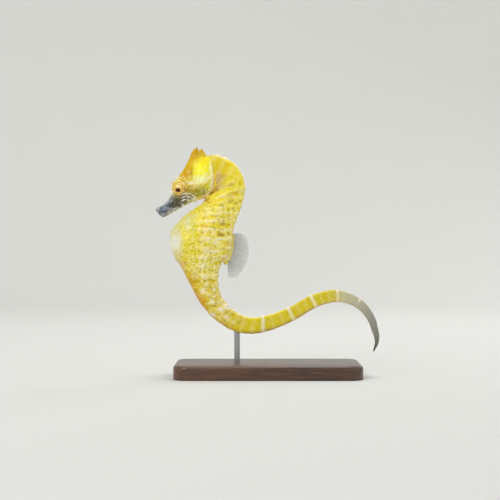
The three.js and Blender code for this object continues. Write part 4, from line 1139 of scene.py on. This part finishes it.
def membrane_material(name, thin, thick, alpha):
    """Fin membrane: a clear skin less than 0.1 mm thick, milky at the root and streaked outwards."""
    material, tree = new_material(name)
    reach = add(tree, "ShaderNodeAttribute", attribute_name="reach").outputs["Fac"]
    across = add(tree, "ShaderNodeAttribute", attribute_name="across").outputs["Fac"]
    place = add(tree, "ShaderNodeCombineXYZ", {0: across, 1: reach})
    place = add(tree, "ShaderNodeMapping", {"Vector": place, "Scale": (2.6, 1.6, 1.0)})
    streak = {"Vector": place, "Scale": 1.0, "Detail": 4, "Roughness": 0.65}
    streak = {"Value": add(tree, "ShaderNodeTexNoise", streak), "From Min": 0.3, "From Max": 0.7}
    streak = add(tree, "ShaderNodeMapRange", streak, interpolation_type="SMOOTHSTEP")
    colour = add(tree, "ShaderNodeMix", {0: streak, 6: linear(thin), 7: linear(thick)}, data_type="RGBA")
    milky = add(tree, "ShaderNodeMapRange", {"Value": reach, "To Min": 1.5 * alpha, "To Max": 0.5 * alpha})
    cover = add(tree, "ShaderNodeMath", {0: streak, 1: 0.7, 2: 0.65}, operation="MULTIPLY_ADD")
    cover = add(tree, "ShaderNodeMath", {0: milky, 1: cover}, operation="MULTIPLY")
    shader = {"Base Color": colour, "Roughness": 0.3, "IOR": 1.36, "Alpha": cover}
    shader = add(tree, "ShaderNodeBsdfPrincipled", shader)
    add(tree, "ShaderNodeOutputMaterial", {"Surface": shader})
    return material


def ray_material(name, dark, pale, alpha):
    """Fin rays: pale, waxy cartilage, a little darker in bands two thirds of a millimetre apart."""
    material, tree = new_material(name)
    place = add(tree, "ShaderNodeTexCoord").outputs["Object"]
    bands = add(tree, "ShaderNodeTexNoise", {"Vector": place, "Scale": PER_MM / 0.6667, "Detail": 2})
    colour = lay_colours(tree, linear(dark), ((pale, 1.0, None, (bands, 0.4, 0.6)),))
    shader = {"Base Color": colour, "Roughness": 0.4, "IOR": 1.45, "Alpha": alpha}
    shader = add(tree, "ShaderNodeBsdfPrincipled", shader)
    add(tree, "ShaderNodeOutputMaterial", {"Surface": shader})
    return material


def walnut_material():
    """Walnut, planed and satin varnished: brown figure along the base's length, with short dark pores."""
    material, tree = new_material("Satin_varnished_walnut")
    place = add(tree, "ShaderNodeTexCoord").outputs["Object"]
    # The grain runs along X and is drawn out 14 times that way. Across it the figure changes every 6 mm or
    # so, growth lines every 0.7 mm and pores every 0.15 mm.
    place = add(tree, "ShaderNodeMapping", {"Vector": place, "Scale": (1 / 14, 1, 1)})
    figure = {"Vector": place, "Scale": PER_MM / 6.25, "Detail": 3, "Distortion": 0.6}
    figure = add(tree, "ShaderNodeTexNoise", figure)
    lines = {"Vector": place, "Scale": PER_MM / 0.7143, "Detail": 5, "Roughness": 0.65}
    lines = add(tree, "ShaderNodeTexNoise", lines)
    pores = add(tree, "ShaderNodeTexNoise", {"Vector": place, "Scale": PER_MM / 0.1538, "Detail": 2})
    pores = {"Value": pores, "From Min": 0.6, "From Max": 0.7}
    pores = add(tree, "ShaderNodeMapRange", pores, interpolation_type="SMOOTHSTEP")
    colour = lay_colours(tree, linear("#5a3822"), (
        ("#3a2115", 1.0, None, (figure, 0.35, 0.65)),
        ("#71492c", 0.6, None, (lines, 0.45, 0.65)),
        ("#1f110a", 0.6, pores),
    ))
    height = add(tree, "ShaderNodeMath", {0: lines, 1: pores}, operation="SUBTRACT")
    bump = add(tree, "ShaderNodeBump", {"Strength": 0.15, "Distance": 0.1 * MM, "Height": height})
    shader = add(tree, "ShaderNodeBsdfPrincipled", {
        "Base Color": colour, "Roughness": 0.42, "IOR": 1.5, "Normal": bump,
        "Coat Weight": 0.4, "Coat Roughness": 0.22,
    })
    add(tree, "ShaderNodeOutputMaterial", {"Surface": shader})
    return material


def steel_material():
    """Steel rod, finely brushed round its axis: the sheen is broken by lines 0.1 mm apart along it."""
    material, tree = new_material("Brushed_steel_rod")
    place = add(tree, "ShaderNodeTexCoord").outputs["Object"]
    place = add(tree, "ShaderNodeMapping", {"Vector": place, "Scale": (1, 1, 12)})
    scratches = add(tree, "ShaderNodeTexNoise", {"Vector": place, "Scale": PER_MM / 1.111, "Detail": 4})
    colour = {0: scratches, 6: linear("#8f9093"), 7: linear("#b9babd")}
    colour = add(tree, "ShaderNodeMix", colour, data_type="RGBA")
    rough = add(tree, "ShaderNodeMath", {0: scratches, 1: 0.2, 2: 0.22}, operation="MULTIPLY_ADD")
    shader = {"Base Color": colour, "Metallic": 1.0, "Roughness": rough}
    shader = add(tree, "ShaderNodeBsdfPrincipled", shader)
    add(tree, "ShaderNodeOutputMaterial", {"Surface": shader})
    return material


# -------------------------------------------------------------------------------- eyes

PUPIL_AIM = np.array((-0.12, -0.96, -0.25))  # for the left eye
PUPIL_OVAL = 0.72  # its height as a share of its width
EYE_ROWS, EYE_COLUMNS = 40, 72


def build_eye(side, name):
    """An eyeball whose poles lie on the pupil's axis. It knows how far from the pupil and at what bearing a
    point lies, so that the iris is drawn round the pupil."""
    aim = PUPIL_AIM * (1, -side, 1)
    aim = aim / np.linalg.norm(aim)
    level = np.cross((0, 0, 1), aim)
    level /= np.linalg.norm(level)
    rise = np.cross(aim, level)
    centre = head_place(*EYE_CENTRE, EYE_OUT * side)
    points, faces = loft(ball(EYE_ROWS, EYE_COLUMNS, aim, level, rise) * EYE_RADII + centre)
    mesh = make_mesh(name, points, faces)
    direction = (read(mesh.vertices, "co") * PER_MM - centre) / EYE_RADII
    direction /= np.linalg.norm(direction, axis=1)[:, None]
    reach = np.arccos(np.clip(direction @ aim, -1, 1)) / (math.pi / 2)
    bearing = np.arctan2(direction @ rise, direction @ level)
    stretch = np.sqrt(np.cos(bearing) ** 2 + (np.sin(bearing) / PUPIL_OVAL) ** 2)
    oval = reach * (1 + (stretch - 1) * smoothstep(0.9, 0.3, reach))
    give(mesh, "polar", np.stack([oval, np.cos(bearing), np.sin(bearing)], axis=1))
    mesh.shade_smooth()
    return make_object(name, mesh)


# -------------------------------------------------------------------------------- fins

DORSAL_ROOT = ((-9.9, 0, 39.9), (-8.7, 0, 35.6), (-11.3, 0, 31.5))
DORSAL_MARGIN = (
    (-7.5, 0, 40.3), (-6.1, 0, 39.0), (-5.35, 0, 36.3), (-5.5, 0, 33.4), (-6.6, 0, 30.5), (-8.6, 0, 28.0),
    (-11.1, 0, 27.4),
)
PECTORAL_ROOT = ((-14.3, 3.6, 56.7), (-13.95, 3.65, 55.2), (-14.3, 3.6, 53.7))
PECTORAL_MARGIN = (
    (-13.4, 4.3, 57.5), (-12.5, 4.7, 56.8), (-12.15, 4.85, 55.2), (-12.5, 4.7, 53.7), (-13.4, 4.3, 53.0),
)
ANAL_ROOT = ((-25.7, 0, 33.6), (-25.45, 0, 33.0), (-25.1, 0, 32.3))
ANAL_MARGIN = ((-26.2, 0, 33.0), (-25.95, 0, 32.4), (-25.4, 0, 31.7))
# Each row is: name, root, margin, rays, direction square to the fin, height of its wave, CAD node.
FINS = (
    ("dorsal", DORSAL_ROOT, DORSAL_MARGIN, 17, (0, 1, 0), 0.3, "dorsal_fin"),
    ("anal", ANAL_ROOT, ANAL_MARGIN, 4, (0, 1, 0), 0.05, "anal_fin"),
    ("pectoral_left", PECTORAL_ROOT, PECTORAL_MARGIN, 15, (-0.5, 0.866, 0), 0.15, "pectoral_fin_left"),
    ("pectoral_right", PECTORAL_ROOT, PECTORAL_MARGIN, 15, (-0.5, 0.866, 0), 0.15, "pectoral_fin_right"),
)
FIN_ROWS = 14
COLUMNS_PER_RAY = 6
CURVE_STEPS = 20  # from one point of a margin to the next
FIN_WAVES, WAVE_START = 1.6, 0.6
SCALLOP, CORNER_ROUNDING = 0.03, 0.12  # shares of the fin's height
CORNER_WIDTH = 0.03  # share of the fin's length
MEMBRANE_THICKNESS = 0.07
RAY_RADIUS = 0.05
RAY_SIDES = 8
RAY_ROOT, RAY_TIP = 1.25, 0.3  # thickness there, in radii
RAY_SUNK = 1.2  # how far a ray starts below the root, in rows of the fin


def along_curve(points, share):
    """Places on a smooth open curve through points, by share of its length."""
    points = np.asarray(points, float)
    ends = np.vstack([2 * points[0] - points[1], points, 2 * points[-1] - points[-2]])
    steps = np.linspace(0, 1, CURVE_STEPS, endpoint=False)[:, None]
    fine = np.vstack([catmull_rom(*ends[k - 1:k + 3], steps) for k in range(1, len(points))] + [points[-1]])
    run = run_along(fine)
    return np.stack([np.interp(share, run / run[-1], fine[:, k]) for k in range(3)], axis=-1)


def root_curve(root, share):
    """Places on the curved root, with its middle point as the one that the curve leans towards."""
    a, b, c = (np.asarray(point, float) for point in root)
    share = np.asarray(share)[..., None]
    return (1 - share) ** 2 * a + 2 * share * (1 - share) * b + share**2 * c


def fin_grid(root, margin, rays, sideways, wave):
    """Places over a fin, from the root to a margin that is scalloped between the rays."""
    share = np.linspace(0, 1, (rays - 1) * COLUMNS_PER_RAY + 1)
    start, end = root_curve(root, share), along_curve(margin, share)
    from_ray = np.abs(np.mod(share * (rays - 1) + 0.5, 1) - 0.5) * 2
    corners = bell(share, CORNER_WIDTH) + bell(share - 1, CORNER_WIDTH)
    reach = ((1 - SCALLOP * from_ray**2) * (1 - CORNER_ROUNDING * corners))[:, None, None]
    up = np.linspace(0, 1, FIN_ROWS)
    grid = start[:, None, :] + (end - start)[:, None, :] * up[None, :, None] * reach
    sway = wave * np.sin(share * 2 * math.pi * FIN_WAVES + WAVE_START)[:, None] * up**1.5
    return grid + sway[..., None] * sideways


def build_membrane(name, grid, sideways, rays):
    """A closed thin sheet over the fin's grid. It says how far out and between which rays a point lies."""
    offset = sideways * MEMBRANE_THICKNESS / 2
    points, faces = loft(np.concatenate([grid + offset, (grid - offset)[:, ::-1]], axis=1))
    mesh = make_mesh(name, points, faces)
    out = np.linspace(0, 1, FIN_ROWS)
    reach = np.tile(np.concatenate([out, out[::-1]]), len(grid))
    across = np.repeat(np.linspace(0, rays - 1, len(grid)), 2 * FIN_ROWS)
    spare = (0, len(points) - len(reach))
    give(mesh, "reach", np.pad(reach, spare, constant_values=0.5))
    give(mesh, "across", np.pad(across, spare, mode="edge"))
    mesh.shade_smooth()
    return make_object(name, mesh)


def ray_tubes():
    """A node tree that lays a round tube along each line of a mesh, as thick as its points say."""
    tree = bpy.data.node_groups.new("Fin_ray_tubes", "GeometryNodeTree")
    tree.interface.new_socket("Lines", in_out="INPUT", socket_type="NodeSocketGeometry")
    tree.interface.new_socket("Sides", in_out="INPUT", socket_type="NodeSocketInt")
    tree.interface.new_socket("Radius", in_out="INPUT", socket_type="NodeSocketFloat")
    tree.interface.new_socket("Material", in_out="INPUT", socket_type="NodeSocketMaterial")
    tree.interface.new_socket("Tubes", in_out="OUTPUT", socket_type="NodeSocketGeometry")
    given = add(tree, "NodeGroupInput").outputs
    thick = add(tree, "GeometryNodeInputNamedAttribute", {"Name": "thick"}, data_type="FLOAT")
    radius = add(tree, "ShaderNodeMath", {0: thick, 1: given["Radius"]}, operation="MULTIPLY")
    lines = add(tree, "GeometryNodeMeshToCurve", {"Mesh": given["Lines"]})
    ring = add(tree, "GeometryNodeCurvePrimitiveCircle", {"Resolution": given["Sides"], "Radius": 1.0})
    tubes = {"Curve": lines, "Profile Curve": ring, "Scale": radius, "Fill Caps": True}
    tubes = add(tree, "GeometryNodeCurveToMesh", tubes)
    smooth = add(tree, "GeometryNodeSetShadeSmooth", {"Geometry": tubes})
    real = add(tree, "GeometryNodeRealizeInstances", {"Geometry": smooth})
    dressed = {"Geometry": real, "Material": given["Material"]}
    dressed = add(tree, "GeometryNodeSetMaterial", dressed)
    add(tree, "NodeGroupOutput", {"Tubes": dressed})
    return tree


def apply_tree(name, mesh, tree, values):
    """Runs a node tree over a mesh and keeps the result as a plain mesh."""
    carrier = make_object(name + "_lines", mesh)
    modifier = carrier.modifiers.new("nodes", "NODES")
    modifier.node_group = tree
    sockets = {item.name: item.identifier for item in tree.interface.items_tree if item.in_out == "INPUT"}
    for key, value in values.items():
        modifier[sockets[key]] = value
    made = applied(carrier)
    made.name = name
    return make_object(name, made)


def build_rays(name, grid, rays, tree, material):
    """One tapering ray at every ray's place on the grid, from inside the root to the margin."""
    points, edges = [], []
    for column in np.linspace(0, len(grid) - 1, rays).round().astype(int):
        line = grid[column]
        edges += [(len(points) + k, len(points) + k + 1) for k in range(FIN_ROWS)]
        points += [line[0] - (line[1] - line[0]) * RAY_SUNK, *line]
    thick = np.tile(RAY_ROOT + (RAY_TIP - RAY_ROOT) * np.linspace(0, 1, FIN_ROWS + 1) ** 0.8, rays)
    mesh = bpy.data.meshes.new(name)
    mesh.from_pydata((np.array(points) * MM).tolist(), edges, [])
    give(mesh, "thick", thick)
    values = {"Sides": RAY_SIDES, "Radius": RAY_RADIUS * MM, "Material": material}
    return apply_tree(name, mesh, tree, values)


# -------------------------------------------------------------------------------- stand

BASE_SIZE = (52.0, 27.0, 4.0)
BASE_CORNER = 4.0
BASE_ROUND = 1.0  # radius of the rounded-over upper edge
BASE_FOOT = ((0.5, 0.0), (0.12, 0.12), (0.0, 0.5))  # the foot's chamfer, as (inset, z)
ROD_X = -8.6
ROD_BOTTOM, ROD_TOP = 1.6, 14.9  # let into the base and into the tail's underside
ROD_RINGS = (3.9, 9.0)  # z of the rings between its ends
ROD_RADIUS = 0.8
ROD_CHAMFER = 0.15
ROD_SIDES = 48
SHARP_ANGLE = math.radians(40)


def rounded_rectangle(length, width, corner, steps=10):
    places = []
    for sign_x, sign_y, start in ((1, 1, 0), (-1, 1, 90), (-1, -1, 180), (1, -1, 270)):
        for angle in np.radians(np.linspace(start, start + 90, steps + 1)):
            x = sign_x * (length / 2 - corner) + corner * math.cos(angle)
            y = sign_y * (width / 2 - corner) + corner * math.sin(angle)
            places.append((x, y))
    return np.array(places)


def hard_piece(name, rows):
    """A closed piece over rows of outlines, smooth but for its sharp edges."""
    mesh = make_mesh(name, *loft(np.array(rows)))
    mesh.shade_smooth()
    mesh.set_sharp_from_angle(angle=SHARP_ANGLE)
    return make_object(name, mesh)


def build_base(name):
    """A plinth with a small chamfer at the foot and a rounded-over upper edge."""
    length, width, height = BASE_SIZE
    profile = list(BASE_FOOT)
    for angle in np.linspace(0, math.pi / 2, 9):
        profile.append((BASE_ROUND * (1 - math.cos(angle)), height - BASE_ROUND * (1 - math.sin(angle))))
    rows = []
    for inset, z in profile:
        outline = rounded_rectangle(length - 2 * inset, width - 2 * inset, BASE_CORNER - inset)
        rows.append(np.column_stack([outline, np.full(len(outline), z)]))
    return hard_piece(name, rows)


def build_rod(name):
    """A round rod with both ends chamfered."""
    end = ROD_RADIUS - ROD_CHAMFER
    profile = [(end, ROD_BOTTOM), (ROD_RADIUS, ROD_BOTTOM + ROD_CHAMFER)]
    profile += [(ROD_RADIUS, z) for z in ROD_RINGS]
    profile += [(ROD_RADIUS, ROD_TOP - ROD_CHAMFER), (end, ROD_TOP)]
    angle = np.linspace(0, 2 * math.pi, ROD_SIDES, endpoint=False)
    circle = np.stack([np.cos(angle), np.sin(angle), np.zeros(ROD_SIDES)], axis=1)
    return hard_piece(name, [circle * radius + (ROD_X, 0, z) for radius, z in profile])


# -------------------------------------------------------------------------------- assembly

def dress(piece, material, slot, *nodes):
    """Gives a piece its material, hides the CAD nodes that it stands for and adds it to the body that it
    rides on. The slot is not used.
    """
    piece.data.materials.clear()
    piece.data.materials.append(material)
    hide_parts(*nodes)
    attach(piece, "root")


FLESH = ["snout", "head", "coronet", "neck", "trunk", "brood_pouch", "tail_base"]
FLESH += [f"tail_{number}" for number in range(1, 6)]
dress(build_skin("seahorse_skin"), skin_material(), "skin", *FLESH)
eye_look = eye_material()
dress(build_eye(-1, "seahorse_eye_left"), eye_look, "eye", "eye_left")
dress(build_eye(1, "seahorse_eye_right"), eye_look, "eye", "eye_right")

GREY_FIN = (
    membrane_material("Clear_grey_fin_membrane", "#6f736f", "#a3a69f", 0.3),
    ray_material("Waxy_grey_fin_rays", "#dedbd0", "#f4f2ea", 0.85),
)
YELLOW_FIN = (
    membrane_material("Clear_yellow_fin_membrane", "#d9c98a", "#efe6b4", 0.14),
    ray_material("Waxy_yellow_fin_rays", "#c7a860", "#e8d890", 0.5),
)
tubes = ray_tubes()
for title, root, margin, rays, sideways, wave, node in FINS:
    mirror = (1, -1 if title.endswith("left") else 1, 1)
    root, margin, sideways = (np.multiply(places, mirror) for places in (root, margin, sideways))
    grid = fin_grid(root, margin, rays, sideways, wave)
    membrane_look, ray_look = GREY_FIN if title == "dorsal" else YELLOW_FIN
    dress(build_membrane(title + "_membrane", grid, sideways, rays), membrane_look, "fin", node)
    dress(build_rays(title + "_rays", grid, rays, tubes, ray_look), ray_look, "fin", node)

dress(build_base("display_base"), walnut_material(), "stand_wood", "stand_base")
dress(build_rod("display_rod"), steel_material(), "stand_steel", "stand_rod")


# -------------------------------------------------------------------------------- studio

FLOOR_RINGS = (300.0, 460.0)  # radii of the flat floor's rings
SWEEP_RADIUS = 220.0  # of the curve from the floor up to the wall
SWEEP_STEPS = 16
WALL_TOP = 800.0
FLOOR_SIDES = 64
SUBJECT, WALL = (-5, 0, 35), (0, 650, 50)
# Each row is: name, place, what it points at, diameter, power in watts.
LAMPS = (
    ("key", (-300, -450, 400), SUBJECT, 300, 1.75),
    ("fill", (450, -400, 200), SUBJECT, 450, 0.45),
    ("top", (50, 100, 600), SUBJECT, 400, 0.6),
    ("rim", (300, 400, 350), SUBJECT, 300, 0.6),
    ("backdrop", (0, 100, 750), WALL, 500, 2.8),
)
LIGHT_ALL_ROUND = 0.3
LENS, SENSOR_WIDTH = 100.0, 36.0
CAMERA_PLACE = (-4.97, -389, 35.42)


def sweep():
    """A pale floor that curves up into a wall all round and is open at the top."""
    profile = [(radius, 0.0) for radius in FLOOR_RINGS]
    for angle in np.linspace(0, math.pi / 2, SWEEP_STEPS + 1)[1:]:
        out, height = SWEEP_RADIUS * math.sin(angle), SWEEP_RADIUS * (1 - math.cos(angle))
        profile.append((FLOOR_RINGS[-1] + out, height))
    profile.append((FLOOR_RINGS[-1] + SWEEP_RADIUS, WALL_TOP))
    turn = np.linspace(0, 2 * math.pi, FLOOR_SIDES, endpoint=False)
    circle = np.stack([np.cos(turn), np.sin(turn), np.zeros(FLOOR_SIDES)], axis=1)
    points = np.vstack([np.zeros((1, 3))] + [circle * radius + (0, 0, z) for radius, z in profile])
    faces = [(0, 1 + k, 1 + (k + 1) % FLOOR_SIDES) for k in range(FLOOR_SIDES)]
    for first in range(1, len(points) - FLOOR_SIDES, FLOOR_SIDES):  # each ring's first point
        for k in range(FLOOR_SIDES):
            here, following = first + k, first + (k + 1) % FLOOR_SIDES
            faces.append((here, here + FLOOR_SIDES, following + FLOOR_SIDES, following))
    mesh = bpy.data.meshes.new("studio_floor")
    mesh.from_pydata((points * MM).tolist(), [], faces)
    mesh.shade_smooth()
    material, tree = new_material("Pale_paper_sweep")
    shader = add(tree, "ShaderNodeBsdfPrincipled", {"Base Color": linear("#d2d2cf"), "Roughness": 0.9})
    add(tree, "ShaderNodeOutputMaterial", {"Surface": shader})
    mesh.materials.append(material)
    return make_object("studio_floor", mesh)


def light_studio():
    """Five soft round lamps, one of them for the wall behind, and a little light from all round."""
    for name, place, aim, diameter, power in LAMPS:
        lamp = bpy.data.lights.new(name, "AREA")
        lamp.energy = power
        lamp.size = diameter * MM
        lamp.shape = "DISK"
        light = make_object(name, lamp)
        light.location = Vector(place) * MM
        light.rotation_euler = (Vector(aim) - Vector(place)).to_track_quat("-Z", "Y").to_euler()
    world = bpy.data.worlds.new("studio")
    world.use_nodes = True
    around = world.node_tree.nodes["Background"]
    around.inputs["Color"].default_value = linear("#f2f1ee")
    around.inputs["Strength"].default_value = LIGHT_ALL_ROUND
    bpy.context.scene.world = world


def place_camera():
    """Level with the animal's middle, looking along +Y at its left side."""
    lens = bpy.data.cameras.new("camera")
    lens.lens = LENS
    lens.sensor_width = SENSOR_WIDTH
    camera = make_object("camera", lens)
    camera.location = Vector(CAMERA_PLACE) * MM
    camera.rotation_euler = (math.radians(90), 0, 0)
    bpy.context.scene.camera = camera


sweep()
light_studio()
place_camera()
bpy.context.scene.view_settings.view_transform = "Standard"
